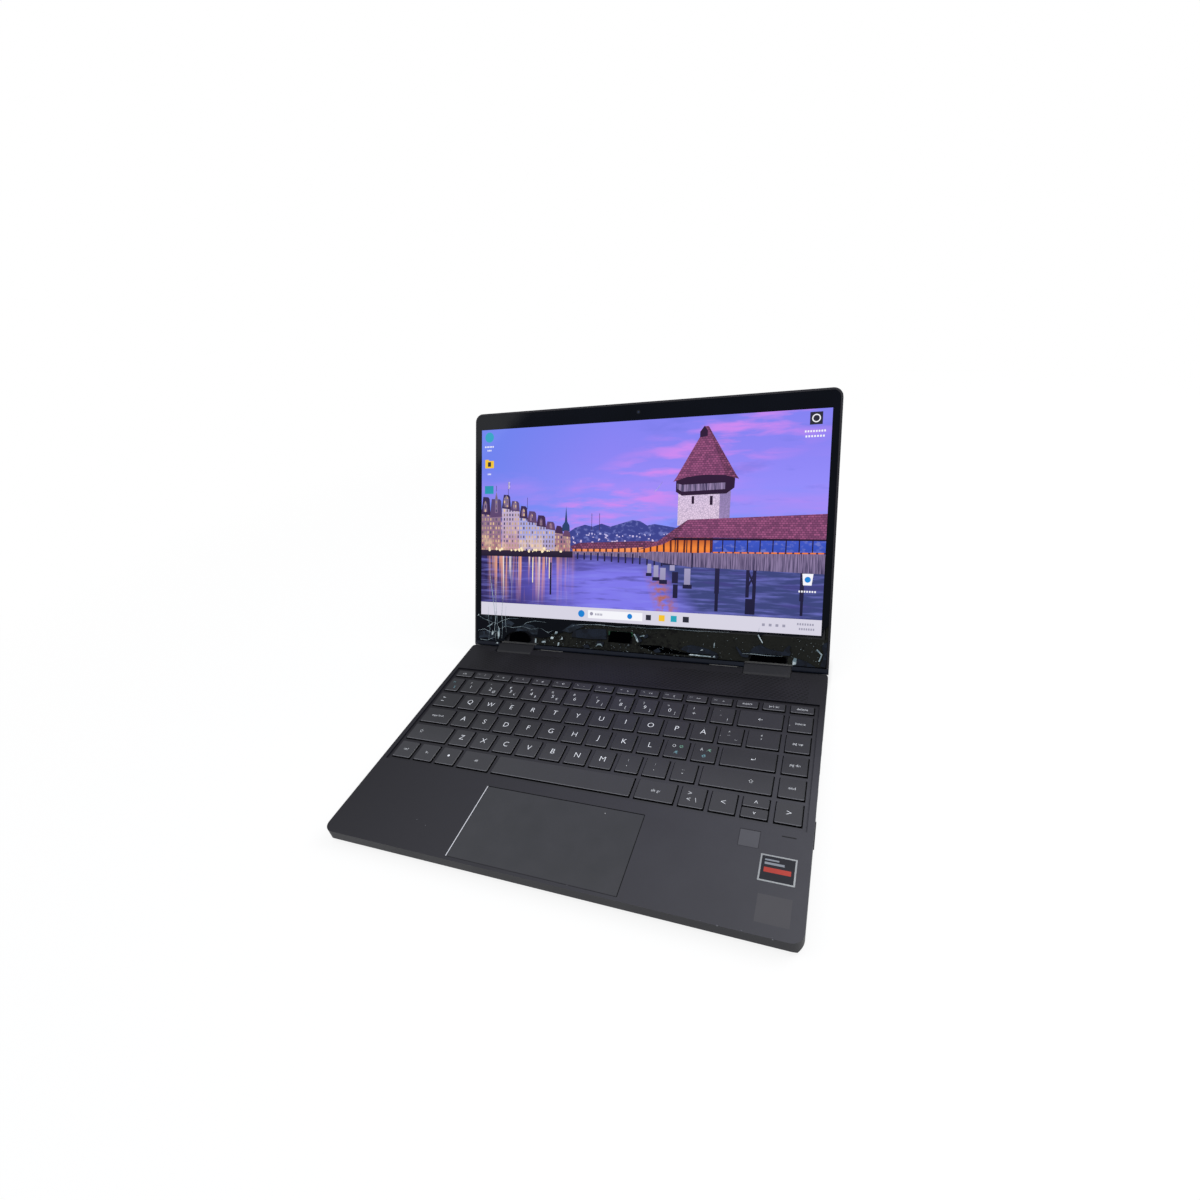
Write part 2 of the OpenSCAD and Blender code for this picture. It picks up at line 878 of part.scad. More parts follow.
module fan_rotor() {
    color("#303034")
    translate([-fan_x, fan_y, floor_z + fan_plate + fan_run])
        difference() {
            union() {
                cylinder(h = fan_rotor_h, r = hub_r);
                for (i = [0:fan_blades - 1])
                    rotate([0, 0, (i + 0.5)*360/fan_blades])
                        translate([hub_r - blade_root, -blade_t/2, blade_inset])
                            cube([fan_r - hub_r + blade_root, blade_t,
                                  fan_rotor_h - 2*blade_inset]);
            }
            translate([0, 0, hub_floor])
                cylinder(h = fan_rotor_h, r = spindle_r + running_fit);
        }
}

battery_w = 208;
battery_d = 62;
battery_cells = 4;

module battery_pack() {
    y0 = from_front(8.9);
    cell_w = battery_w/battery_cells;
    color("#1c1c1f")
    union() {
        block(-battery_w/2, battery_w/2, y0, y0 + battery_d, floor_z, inner_top_z - 0.4);
        for (i = [0:battery_cells - 1])
            block(-battery_w/2 + i*cell_w + 1, -battery_w/2 + (i + 1)*cell_w - 1,
                  y0 + 1, y0 + battery_d - 1, inner_top_z - 0.5, inner_top_z);
    }
}

speaker_w = 15;
speaker_l = 44;
speaker_d0 = 10;

module speaker() {
    x1 = side_x - side_slope_in - shell_t - 0.8;
    d1 = speaker_d0 + speaker_l;
    color("#202024")
    difference() {
        deck_block(x1 - speaker_w, x1, speaker_d0, d1, floor_z, inner_top_z);
        translate([x1 - speaker_w/2, from_shaft(speaker_d0 + speaker_l/2), inner_top_z - 1])
            linear_extrude(2)
                rounded(speaker_w - 5, speaker_l - 20, 4);
    }
}

module speaker_right() { speaker(); }

module speaker_left() {
    mirror([1, 0, 0])
        speaker();
}

// ---- sockets and buttons on the sides ----

socket_in = 2.6;                        // how far a socket's mouth lies inside the body's side
socket_x1 = side_x - socket_in;
socket_x0 = board_x1;
socket_gap = 0.15;
socket_mid_z = (floor_z + plate_z)/2;
usb_a_w = 13.2;
usb_a_h = 4.4;
usb_c_w = 9.2;
usb_c_h = 3.4;
dc_w = 7;
dc_h = 4.4;
dc_bore_r = 1.9;
dc_pin_r = 0.5;
audio_w = 7;
audio_h = 4.4;
audio_bore_r = 1.75;
audio_bore_l = 14;
card_w = 12.6;
card_h = 2;
power_w = 12;
rocker_w = 18;
button_h = 2;
button_foot_t = 1.4;
button_foot_gap = 0.4;
button_proud = 0.5;
button_mid_z = seam_z + button_h/2 + 0.35;

left_usb_d = 70;
audio_d = 88;
power_d = 108;
dc_d = 64;
usb_c_d = 78;
right_usb_d = 96;
card_d = 116;
rocker_d = 137;

// a socket's block from the board's edge to its mouth, centred on depth d
module socket(d, w, h, grow, x0, x1) {
    deck_block(x0, x1, d - w/2 - grow, d + w/2 + grow,
               socket_mid_z - h/2 - grow, socket_mid_z + h/2 + grow);
}

module right_sockets_cut() {
    x1 = side_x + 1;
    socket(dc_d, dc_w, dc_h, socket_gap, socket_x0, x1);
    socket(usb_c_d, usb_c_w, usb_c_h, socket_gap, socket_x0, x1);
    socket(right_usb_d, usb_a_w, usb_a_h, socket_gap, socket_x0, x1);
    socket(card_d, card_w, card_h, socket_gap, socket_x0, x1);
}

module left_sockets_cut() {
    x1 = side_x + 1;
    mirror([1, 0, 0]) {
        socket(left_usb_d, usb_a_w, usb_a_h, socket_gap, socket_x0, x1);
        socket(audio_d, audio_w, audio_h, socket_gap, socket_x0, x1);
    }
}

module button_cut(d, w) {
    deck_block(side_x - shell_t - 1, side_x + 1, d - w/2 - 0.15, d + w/2 + 0.15,
               button_mid_z - button_h/2 - 0.15, button_mid_z + button_h/2 + 0.15);
}

module side_cuts() {
    right_sockets_cut();
    left_sockets_cut();
    button_cut(rocker_d, rocker_w);
    mirror([1, 0, 0])
        button_cut(power_d, power_w);
}

module usb_a_socket(d) {
    color("#a9acb0")
    union() {
        difference() {
            socket(d, usb_a_w, usb_a_h, 0, socket_x0, socket_x1);
            socket(d, usb_a_w - 0.7, usb_a_h - 0.7, 0, socket_x0 + 7, socket_x1 + 1);
        }
        deck_block(socket_x0 + 6, socket_x1 - 1, d - 5.5, d + 5.5,
                   socket_mid_z + 0.3, socket_mid_z + 1.5);
    }
}

module usb_a_port_right() { usb_a_socket(right_usb_d); }

module usb_a_port_left() {
    mirror([1, 0, 0])
        usb_a_socket(left_usb_d);
}

module usb_c_port() {
    color("#a9acb0")
    union() {
        difference() {
            socket(usb_c_d, usb_c_w, usb_c_h, 0, socket_x0, socket_x1);
            translate([socket_x0 + 9, from_shaft(usb_c_d), socket_mid_z])
                rotate([90, 0, 90])
                    linear_extrude(30)
                        rounded(usb_c_w - 0.6, usb_c_h - 0.6, 1.25);
        }
        deck_block(socket_x0 + 8, socket_x1 - 1, usb_c_d - 3.2, usb_c_d + 3.2,
                   socket_mid_z - 0.35, socket_mid_z + 0.35);
    }
}

module dc_inlet() {
    color("#2a2a2e")
    difference() {
        socket(dc_d, dc_w, dc_h, 0, socket_x0, socket_x1);
        translate([0, from_shaft(dc_d), socket_mid_z])
            difference() {
                bar_x(socket_x0 + 8, socket_x1 + 1, dc_bore_r);
                bar_x(socket_x0 + 7, socket_x1 - 1, dc_pin_r);
            }
    }
}

module audio_jack() {
    color("#232327")
    mirror([1, 0, 0])
        difference() {
            socket(audio_d, audio_w, audio_h, 0, socket_x0, socket_x1);
            translate([0, from_shaft(audio_d), socket_mid_z])
                bar_x(socket_x1 - audio_bore_l, socket_x1 + 1, audio_bore_r);
        }
}

module card_reader() {
    color("#a9acb0")
    difference() {
        socket(card_d, card_w, card_h, 0, socket_x0, socket_x1);
        socket(card_d, card_w - 1.4, card_h - 0.8, 0, socket_x0 + 4, socket_x1 + 1);
    }
}

// a button passes through the side wall and has a wider foot behind it
module side_button(d, w) {
    x1 = side_x - shell_t - button_foot_gap;
    z0 = button_mid_z - button_h/2;
    union() {
        deck_block(x1 - button_foot_t/2, side_x + button_proud, d - w/2, d + w/2,
                   z0, z0 + button_h);
        deck_block(x1 - button_foot_t, x1, d - w/2 - 1, d + w/2 + 1,
                   z0 + 0.2, z0 + button_h - 0.2);
    }
}

module power_button() {
    color("#2b2a2f")
    mirror([1, 0, 0])
        side_button(power_d, power_w);
}

module volume_rocker() {
    color("#2b2a2f")
    side_button(rocker_d, rocker_w);
}

module case_screws() {
    color("#1e1e20")
    at_screws() {
        translate([0, 0, bottom_z + 0.1])
            cylinder(h = screw_head_h, r = screw_head_r);
        translate([0, 0, bottom_z + 0.1])
            cylinder(h = boss_seat_z + 3 - bottom_z, r = screw_r);
    }
}

// ---- hinges ----

module lower_hinge_bracket() {
    z1 = deck_z - shell_t;
    difference() {
        union() {
            deck_block(bracket_x0, bracket_x1, bracket_from_shaft, bracket_from_shaft + bracket_d,
                       z1 - bracket_t, z1);
            deck_block(bracket_x1 - ear_t, bracket_x1, 0, bracket_from_shaft + 2,
                       z1 - bracket_t, z1);
            deck_block(bracket_x1 - ear_t, bracket_x1, 0, ear_r, shaft_z, z1);
            at_shaft()
                bar_x(bracket_x1 - ear_t, bracket_x1, ear_r);
        }
        at_shaft()
            bar_x(bracket_x1 - ear_t - 1, bracket_x1 + 1, shaft_r + round_gap);
    }
}

module lower_hinge_brackets() {
    color("#a4a7aa")
    difference() {
        both_sides()
            lower_hinge_bracket();
        at_lower_hinge_screws()
            translate([0, 0, deck_z - shell_t - bracket_t - 1])
                cylinder(h = bracket_t + 2, r = hinge_screw_r + round_gap);
    }
}

module hinge_screw() {
    cylinder(h = hinge_screw_head_h, r = hinge_screw_head_r);
    cylinder(h = hinge_screw_head_h + bracket_t + hinge_screw_grip, r = hinge_screw_r);
}

module lower_hinge_screws() {
    color("#77797c")
    at_lower_hinge_screws()
        translate([0, 0, deck_z - shell_t - bracket_t - hinge_screw_head_h])
            hinge_screw();
}

// one gear seen from its end: a tooth points along +X, turned by a half tooth if odd is 1
module gear_plan(odd) {
    step = 360/gear_teeth;
    root = gear_pitch_r - gear_root;
    tip = gear_pitch_r + gear_tip;
    points = [
        for (i = [0:gear_teeth - 1], p = [[root, -0.29], [tip, -0.1], [tip, 0.1], [root, 0.29]])
            let (a = (i + p[1] + odd/2)*step)
                [p[0]*cos(a), p[0]*sin(a)]
    ];
    polygon(points);
}

// gear n of the train of four, from 0 on the lower shaft to 3 on the upper one
module link_gear(n, x0, w) {
    translate([0, 0, n*shaft_gap/3])
        along_x(x0, x0 + w)
            rotate(90)
                gear_plan(n % 2);
}

gear_x0 = knuckle_in + link_main_w - pocket_w + 0.2;

module gear_shaft(n) {
    translate([0, 0, n*shaft_gap/3])
        bar_x(bracket_x1 - ear_t, gear_x0 + e, shaft_r);
    link_gear(n, gear_x0, gear_w);
}

module lower_gear_shafts() {
    color("#7d8083")
    at_link()
        both_sides()
            gear_shaft(0);
}

module upper_gear_shafts() {
    color("#7d8083")
    at_link()
        both_sides()
            gear_shaft(3);
}

idler_pin_r = 0.6;
idler_pin_l = 1.6;

module idler_gears(n) {
    color("#8b8e91")
    at_link()
        both_sides() {
            link_gear(n, gear_x0 + 0.1, gear_w - 0.2);
            translate([0, 0, n*shaft_gap/3])
                bar_x(gear_x0 - 0.2 - idler_pin_l, gear_x0 + gear_w + 0.4 + idler_pin_l,
                      idler_pin_r);
        }
}

module lower_idler_gears() { idler_gears(1); }
module upper_idler_gears() { idler_gears(2); }

// the knuckle's section: round at both shafts, with flat flanks that touch both circles
module knuckle_plan() {
    slope = (knuckle_r - lid_half)/shaft_gap;
    rise = sqrt(1 - slope*slope);
    circle(knuckle_r);
    translate([0, shaft_gap])
        circle(lid_half);
    polygon([
        [-knuckle_r*rise, knuckle_r*slope], [knuckle_r*rise, knuckle_r*slope],
        [lid_half*rise, shaft_gap + lid_half*slope],
        [-lid_half*rise, shaft_gap + lid_half*slope]
    ]);
}

module idler_pin_holes() {
    for (n = [1, 2])
        translate([0, 0, n*shaft_gap/3])
            bar_x(gear_x0 - 0.2 - idler_pin_l - 0.2, gear_x0 + gear_w + 0.6 + idler_pin_l,
                  idler_pin_r + running_fit);
}

module hinge_link() {
    color("#34333a")
    at_link()
        difference() {
            along_x(knuckle_in, knuckle_in + link_main_w)
                knuckle_plan();
            for (z = [0, shaft_gap])
                translate([0, 0, z])
                    bar_x(knuckle_in - 1, gear_x0, shaft_r + running_fit);
            for (n = [0:3])
                translate([0, 0, n*shaft_gap/3])
                    bar_x(knuckle_in + link_main_w - pocket_w, knuckle_out, gear_pitch_r + 0.35);
            idler_pin_holes();
        }
}

module hinge_link_right() { hinge_link(); }

module hinge_link_left() {
    mirror([1, 0, 0])
        hinge_link();
}

module hinge_caps() {
    color("#34333a")
    at_link()
        both_sides()
            difference() {
                along_x(knuckle_in + link_main_w, knuckle_out)
                    knuckle_plan();
                idler_pin_holes();
            }
}

// the upper bracket lies in the lid, against its metal back
upper_bracket_t = 0.8;
upper_bracket_h = 14;
upper_screw_head_h = 0.5;

module upper_hinge_bracket() {
    y0 = back_in - upper_bracket_t;
    difference() {
        union() {
            block(bracket_x0, bracket_x1, y0, back_in, notch_top, upper_bracket_h);
            block(bracket_x1 - ear_t, bracket_x1, y0, back_in, 0, notch_top + e);
            bar_x(bracket_x1 - ear_t, bracket_x1, 1.85);
        }
        bar_x(bracket_x1 - ear_t - 1, bracket_x1 + 1, shaft_r + round_gap);
        block(bracket_x0 - 1, bracket_x1 + 1, back_in, lid_half, -3, upper_bracket_h + 1);
    }
}

module at_upper_hinge_screws() {
    both_sides()
        for (x = [bracket_x0 + 4, bracket_x1 - 8])
            translate([x, back_in - upper_bracket_t, notch_top + 5])
                rotate([-90, 0, 0])
                    children();
}

module upper_hinge_brackets() {
    color("#a4a7aa")
    at_lid()
        difference() {
            both_sides()
                upper_hinge_bracket();
            at_upper_hinge_screws()
                translate([0, 0, -1])
                    cylinder(h = upper_bracket_t + 2, r = hinge_screw_r + round_gap);
        }
}

module upper_hinge_screws() {
    color("#77797c")
    at_lid()
        at_upper_hinge_screws() {
            translate([0, 0, -upper_screw_head_h])
                cylinder(h = upper_screw_head_h, r = hinge_screw_head_r);
            cylinder(h = upper_bracket_t + hinge_screw_grip, r = hinge_screw_r);
        }
}

// ---- lid ----

lid_h = hinge_to_front;

// the lid's outline above the trim, drawn in by i, with round top corners only
module lid_outline(i, bottom) {
    r = corner_r - i;
    x = side_x - i;
    top = lid_h - i;
    translate([-x, bottom])
        square([2*x, top - r - bottom]);
    translate([-x + r, bottom])
        square([2*(x - r), top - bottom]);
    for (s = [-1, 1])
        translate([s*(x - r), top - r])
            circle(r);
}

module knuckle_gap_block() {
    both_sides()
        block(knuckle_in - knuckle_gap, knuckle_out + knuckle_gap, -lid_t, lid_t,
              -lid_t, notch_top);
}

module lid_cover() {
    color("#3a393e")
    at_lid()
        difference() {
            lid_sheet(-lid_half, lid_half)
                lid_outline(0, trim_top);
            lid_sheet(-lid_t, back_in)
                lid_outline(rim_t, 0);
            knuckle_gap_block();
            at_upper_hinge_screws()
                cylinder(h = upper_bracket_t + hinge_screw_grip + 0.1,
                         r = hinge_screw_r + round_gap);
        }
}

// three lengths of trim, between and outside the knuckles, hollow at the brackets
module trim_bar(x0, x1) {
    bar_x(x0, x1, lid_half);
    block(x0, x1, -lid_half, lid_half, 0, trim_top);
}

module lid_bottom_trim() {
    x_in = knuckle_in - knuckle_gap;
    color("#262c38")
    at_lid()
        difference() {
            union() {
                trim_bar(-x_in, x_in);
                both_sides()
                    trim_bar(knuckle_out + knuckle_gap, side_x);
            }
            both_sides() {
                block(bracket_x0 - 1, bracket_x1 + 0.4, -1.95, 1.95, -1.95, trim_top + 1);
                bar_x(bracket_x1, x_in + 1, shaft_r + 0.25);
            }
        }
}

// the broken lower edge of the glass, from the left: [across, height above the shaft]
broken_edge = [
    [-127.6, 2.6], [-127.6, 3.6], [-123.4, 3.7], [-122, 7], [-118.8, 10.4],
    [-113.6, 13], [-107, 14.2], [-101, 13.5], [-97, 11.2], [-93, 10.1],
    [-85, 9.4], [-78, 10.4], [-73.8, 15.4], [-68.5, 14.6], [-62.5, 16.2],
    [-58.2, 19.3], [-55, 22.2], [-47, 23.8], [-30, 24.7], [-12, 23.9],
    [0, 25], [14, 24.3], [30, 25.4], [52, 24.8], [58, 26], [80, 25.5],
    [100.6, 26.1], [103, 23.6], [106, 25.9], [126, 25.3], [140, 26]
];
// where the break meets the right edge, above the picture's lower corner
break_right = 36.5;
break_inner = 31.5;

module glass_outline() {
    x = glass_w/2;
    top = lid_h - rim_t - glass_gap;
    r = corner_r - rim_t - glass_gap;
    intersection() {
        lid_outline(rim_t + glass_gap, glass_edge - 1);
        polygon(concat(
            [[-x - 1, glass_edge]],
            broken_edge,
            [
                [picture_w/2 + 0.6, 25.6],
                [picture_w/2 + 1.8, break_inner],
                [x + 1, break_right],
                [x + 1, top + r],
                [-x - 1, top + r]
            ]
        ));
    }
}

module cover_glass() {
    color("#11151f")
    at_lid()
        lid_sheet(-lid_half, glass_back)
            glass_outline();
}

// pieces of the glass that still stick to the tape, each an outline
shards = [
    // the hump over the right knuckle
    [[91.5, 10.1], [95, 10.9], [98, 14.4], [101, 16.4], [104.4, 17.5], [106.4, 15.8],
     [110, 14.3], [116, 13.3], [120.6, 12.9], [121.4, 15.2], [124.6, 18.2], [126, 17.4],
     [124.9, 14.8], [126.4, 12.4], [125.2, 10.2]],
    // the strip left along the right rim
    [[147.3, 4.2], [150.6, 3.4], [151.5, 7], [151.5, 22.4], [149.4, 21.4], [147.8, 18.6],
     [149.4, 14], [149, 10.2]],
    // the low piece outside the right knuckle
    [[130.6, 8.5], [134, 8], [138, 6.7], [141.2, 4.8], [143.6, 3.2], [129.6, 3.2]],
    // the long lens to the right of the middle
    [[41, 8.8], [44, 11.6], [50, 12.8], [56, 12.2], [62, 10.8], [68, 8.9], [71.8, 7],
     [60, 6.4], [48, 6.6]],
    // the pointed piece left of the hump
    [[84.4, 14.6], [86.6, 13.2], [89.2, 10.6], [90.8, 8.9], [95.2, 8.4], [94.6, 6.6],
     [90, 6.6], [88, 8.6]],
    // the band left of the middle
    [[-56, 12.2], [-54, 17.6], [-46, 19.6], [-34, 20.6], [-24, 21], [-23, 12.4], [-38, 11.6]],
    // splinters below the middle
    [[3, 18.8], [5.2, 18.2], [8.2, 13], [5.6, 11.6], [3.8, 14.6]],
    [[8.6, 17], [12.6, 19.4], [13.8, 17.2], [10.4, 15.4]],
    [[-33, 7.4], [-31.6, 10.2], [-25.4, 9.8], [-26.4, 6.4]],
    [[18, 6], [22.4, 8.4], [24.4, 5.2], [20, 4.4]],
    [[64, 4.6], [67.8, 8], [72.2, 5.2], [70, 3.4]],
    [[-45, 5.4], [-40, 7], [-38.4, 4], [-43, 3.2]]
];

module glass_shards() {
    color("#141a27")
    at_lid()
        for (s = shards)
            lid_sheet(-lid_half, glass_back)
                polygon(s);
}

module display_panel() {
    color("#0d0f14")
    at_lid()
        lid_sheet(glass_back, glass_back + panel_t)
            translate([0, picture_mid])
                square([panel_w, panel_h], center = true);
}

display_board_h = 6;

module display_board() {
    z1 = panel_bottom - 2;
    color("#1b5536")
    at_lid()
        union() {
            block(-bracket_x0 + 4, bracket_x0 - 4, glass_back + tape_t, glass_back + tape_t + 0.8,
                  z1 - display_board_h, z1);
            for (i = [-3:3])
                block(i*16 - 4, i*16 + 4, glass_back + tape_t + 0.8 - e,
                      glass_back + tape_t + 1.8, z1 - display_board_h + 1, z1 - 1);
        }
}

camera_h = 5.5;

module camera_board() {
    z0 = (picture_from_shaft + picture_h + panel_border + lid_h - rim_t)/2 - camera_h/2;
    color("#1b5536")
    at_lid()
        union() {
            block(-34, 34, glass_back + 0.8, glass_back + 1.6, z0, z0 + camera_h);
            translate([0, glass_back, z0 + camera_h/2])
                rotate([-90, 0, 0])
                    cylinder(h = 0.9, r = 2);
            for (x = [-26, 26])
                translate([x, glass_back, z0 + camera_h/2])
                    rotate([-90, 0, 0])
                        cylinder(h = 0.9, r = 1.2);
        }
}

// foam and film that bond the glass: a frame around the panel and a sheet below it
module panel_tape() {
    top = lid_h - rim_t - glass_gap;
    foam = 1.6;
    color("#2c2d29")
    at_lid()
        difference() {
            union() {
                lid_sheet(glass_back, glass_back + tape_t)
                    difference() {
                        translate([-knuckle_in + 1, glass_edge + 0.6])
                            square([knuckle_in - 1 + glass_w/2, panel_bottom - glass_edge - 0.6]);
                        translate([-22, 10])
                            square([21.5, 9.8]);
                        translate([95, 0])
                            square([29, 9]);
                    }
                both_sides()
                    block(glass_w/2 - foam, glass_w/2, glass_back, back_in,
                          notch_top + 3, top - corner_r);
                block(-glass_w/2 + corner_r, glass_w/2 - corner_r, glass_back, back_in,
                      top - foam, top);
            }
            knuckle_gap_block();
        }
}

top_case();
bottom_cover();
front_foot();
rear_foot();
keyboard_plate();
key_domes();
function_keys();
number_keys();
upper_letter_keys();
home_letter_keys();
enter_key();
lower_letter_keys();
modifier_keys();
space_bar();
arrow_keys();
navigation_keys();
touchpad_glass();
touchpad_board();
touchpad_bracket();
fingerprint_sensor();
palm_rest_label();
mainboard();
left_io_board();
heat_pipe();
heat_fins();
fan_housing();
fan_rotor();
ssd_module();
wireless_card();
battery_pack();
speaker_left();
speaker_right();
usb_a_port_left();
usb_a_port_right();
usb_c_port();
dc_inlet();
audio_jack();
card_reader();
power_button();
volume_rocker();
case_screws();
lower_hinge_brackets();
lower_gear_shafts();
lower_hinge_screws();
hinge_link_left();
hinge_link_right();
hinge_caps();
lower_idler_gears();
upper_idler_gears();
upper_gear_shafts();
upper_hinge_brackets();
upper_hinge_screws();
lid_cover();
lid_bottom_trim();
cover_glass();
glass_shards();
display_panel();
display_board();
camera_board();
panel_tape();
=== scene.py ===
"""Looks of a folding laptop, open and lit, with its cover glass broken below the picture."""
import json
import math
import random

import bmesh
import bpy
from mathutils import Matrix, Vector


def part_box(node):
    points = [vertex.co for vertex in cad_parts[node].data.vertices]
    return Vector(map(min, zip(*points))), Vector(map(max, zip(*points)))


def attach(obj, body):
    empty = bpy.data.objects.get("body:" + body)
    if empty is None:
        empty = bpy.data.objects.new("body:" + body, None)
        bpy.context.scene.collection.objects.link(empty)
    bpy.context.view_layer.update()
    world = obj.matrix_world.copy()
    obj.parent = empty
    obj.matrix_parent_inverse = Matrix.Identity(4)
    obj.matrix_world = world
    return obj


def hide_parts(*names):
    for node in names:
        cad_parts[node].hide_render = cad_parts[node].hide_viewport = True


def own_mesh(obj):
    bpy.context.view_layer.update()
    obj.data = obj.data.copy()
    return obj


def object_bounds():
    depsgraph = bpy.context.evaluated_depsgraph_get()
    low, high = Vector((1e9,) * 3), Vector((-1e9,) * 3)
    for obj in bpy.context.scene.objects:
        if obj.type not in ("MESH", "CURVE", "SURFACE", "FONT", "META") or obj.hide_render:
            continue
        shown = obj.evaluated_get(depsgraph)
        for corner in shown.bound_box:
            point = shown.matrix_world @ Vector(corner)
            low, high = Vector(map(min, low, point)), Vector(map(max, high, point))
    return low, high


MM = 0.001
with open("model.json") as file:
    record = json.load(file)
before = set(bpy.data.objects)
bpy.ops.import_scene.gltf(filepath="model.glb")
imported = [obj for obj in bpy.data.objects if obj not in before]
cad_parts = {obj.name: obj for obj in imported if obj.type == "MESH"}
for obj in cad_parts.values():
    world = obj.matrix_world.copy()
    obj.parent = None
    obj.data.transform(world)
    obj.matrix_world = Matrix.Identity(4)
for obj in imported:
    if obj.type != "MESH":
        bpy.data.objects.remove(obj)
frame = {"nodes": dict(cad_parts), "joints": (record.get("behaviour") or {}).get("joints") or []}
cad_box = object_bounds()

# ---- places, from the frame ----

JOINTS = {j["name"]: j for j in frame["joints"]}
OPEN_ANGLE = math.radians(119.3)        # between the deck and the screen
UPPER_SHAFT = Vector(JOINTS["upper_hinge"]["pos_m"])
LID_UP = Vector((0, -math.cos(OPEN_ANGLE), math.sin(OPEN_ANGLE)))
LID_OUT = Vector((0, -math.sin(OPEN_ANGLE), -math.cos(OPEN_ANGLE)))     # out of the glass
GLASS_FACE = 2.25                       # mm from the shaft to the front of the glass
DECK_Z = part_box("top_case")[1].z
FRONT_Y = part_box("top_case")[0].y
SIDE_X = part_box("top_case")[1].x


def on_lid(x, s, lift):
    """A point on the glass: mm across, mm above the upper shaft, mm in front of the glass."""
    return UPPER_SHAFT + Vector((x*MM, 0, 0)) + LID_UP*(s*MM) + LID_OUT*((GLASS_FACE + lift)*MM)


# ---- camera ----

CAMERA_PLACE = Vector((0.16509, -0.36616, 0.3249))
CAMERA_LENS = 18.803                    # mm on a 36 mm sensor
CAMERA_AZIMUTH = math.radians(26.612)   # turned to the left of straight ahead
CAMERA_DOWN = math.radians(31.878)
CAMERA_ROLL = math.radians(11.579)
CAMERA_SHIFT = (0.0075, 0.0079)


def add_camera():
    ahead = Vector((-math.sin(CAMERA_AZIMUTH)*math.cos(CAMERA_DOWN),
                    math.cos(CAMERA_AZIMUTH)*math.cos(CAMERA_DOWN), -math.sin(CAMERA_DOWN)))
    level = ahead.cross(Vector((0, 0, 1))).normalized()
    up = level.cross(ahead)
    right = level*math.cos(CAMERA_ROLL) - up*math.sin(CAMERA_ROLL)
    up = right.cross(ahead)
    bpy.ops.object.camera_add()
    camera = bpy.context.object
    camera.matrix_world = Matrix.Translation(CAMERA_PLACE) @ Matrix(
        (right, up, -ahead)).transposed().to_4x4()
    camera.data.lens = CAMERA_LENS
    camera.data.sensor_width = 36
    camera.data.shift_x, camera.data.shift_y = CAMERA_SHIFT
    camera.data.clip_start = 0.01
    bpy.context.scene.camera = camera


add_camera()


# ---- materials ----

def colour(code):
    """An sRGB hex colour as linear values."""
    parts = [int(code[i:i + 2], 16)/255 for i in (1, 3, 5)]
    linear = [c/12.92 if c <= 0.04045 else ((c + 0.055)/1.055)**2.4 for c in parts]
    return (*linear, 1.0)


def material(name):
    """A new material with its shader and output, as (material, tree, shader)."""
    mat = bpy.data.materials.new(name)
    mat.use_nodes = True
    return mat, mat.node_tree, mat.node_tree.nodes["Principled BSDF"]


def put(tree, socket, value):
    """Links a socket, or sets it to a number, a vector or a colour's hex code."""
    if isinstance(value, bpy.types.NodeSocket):
        tree.links.new(value, socket)
    else:
        socket.default_value = colour(value) if isinstance(value, str) else value


def node(tree, kind, inputs=None, out=None, ramp=None, **settings):
    """Adds a node with its settings, values, colour stops and links; returns it or one output."""
    new = tree.nodes.new("ShaderNode" + kind)
    for key, value in settings.items():
        setattr(new, key, value)
    if ramp:
        stops = new.color_ramp.elements
        while len(stops) < len(ramp):
            stops.new(0.5)
        for stop, (place, code) in zip(stops, ramp):
            stop.position = place
            stop.color = colour(code)
    for key, value in (inputs or {}).items():
        put(tree, new.inputs[key], value)
    return new if out is None else new.outputs[out]


def set_shader(tree, shader, **values):
    """Sets or links the shader's sockets, named with underscores for spaces."""
    for key, value in values.items():
        put(tree, shader.inputs[key.replace("_", " ")], value)


def coat(tree, base, over, *masks):
    """Lays a colour over the base where its masks meet.

    A mask is a socket or a number, or (socket, where it is 0, where it is full[, the most]).
    """
    share = None
    for mask in masks:
        if isinstance(mask, tuple):
            value, bare, full, *most = mask
            mask = node(tree, "MapRange", {"Value": value, "From Min": bare, "From Max": full,
                                           "To Max": most[0] if most else 1.0}, out=0)
        share = mask if share is None else node(tree, "Math", {0: share, 1: mask}, out=0,
                                                operation="MULTIPLY")
    return node(tree, "Mix", {0: share, 6: base, 7: over}, out=2, data_type="RGBA")


def grain(tree, where, size_mm, depth_mm):
    """A normal for fine grain of that size and depth."""
    height = node(tree, "TexNoise", {"Vector": where, "Scale": 1/(size_mm*MM), "Detail": 3},
                  out="Fac")
    return node(tree, "Bump", {"Height": height, "Distance": depth_mm*MM}, out="Normal")


DUST_FREE = 0.72                        # the share of cells without a speck


def dust(tree, where, pitch_mm, radius):
    """White specks, one in some cells of a grid of that pitch."""
    cells = node(tree, "TexVoronoi", {"Vector": where, "Scale": 1/(pitch_mm*MM)})
    near = node(tree, "Math", {0: cells.outputs["Distance"], 1: radius}, out=0,
                operation="LESS_THAN")
    tone = node(tree, "SeparateColor", {"Color": cells.outputs["Color"]})
    chosen = node(tree, "Math", {0: tone.outputs["Red"], 1: DUST_FREE}, out=0,
                  operation="GREATER_THAN")
    return node(tree, "Math", {0: near, 1: chosen}, out=0, operation="MULTIPLY")


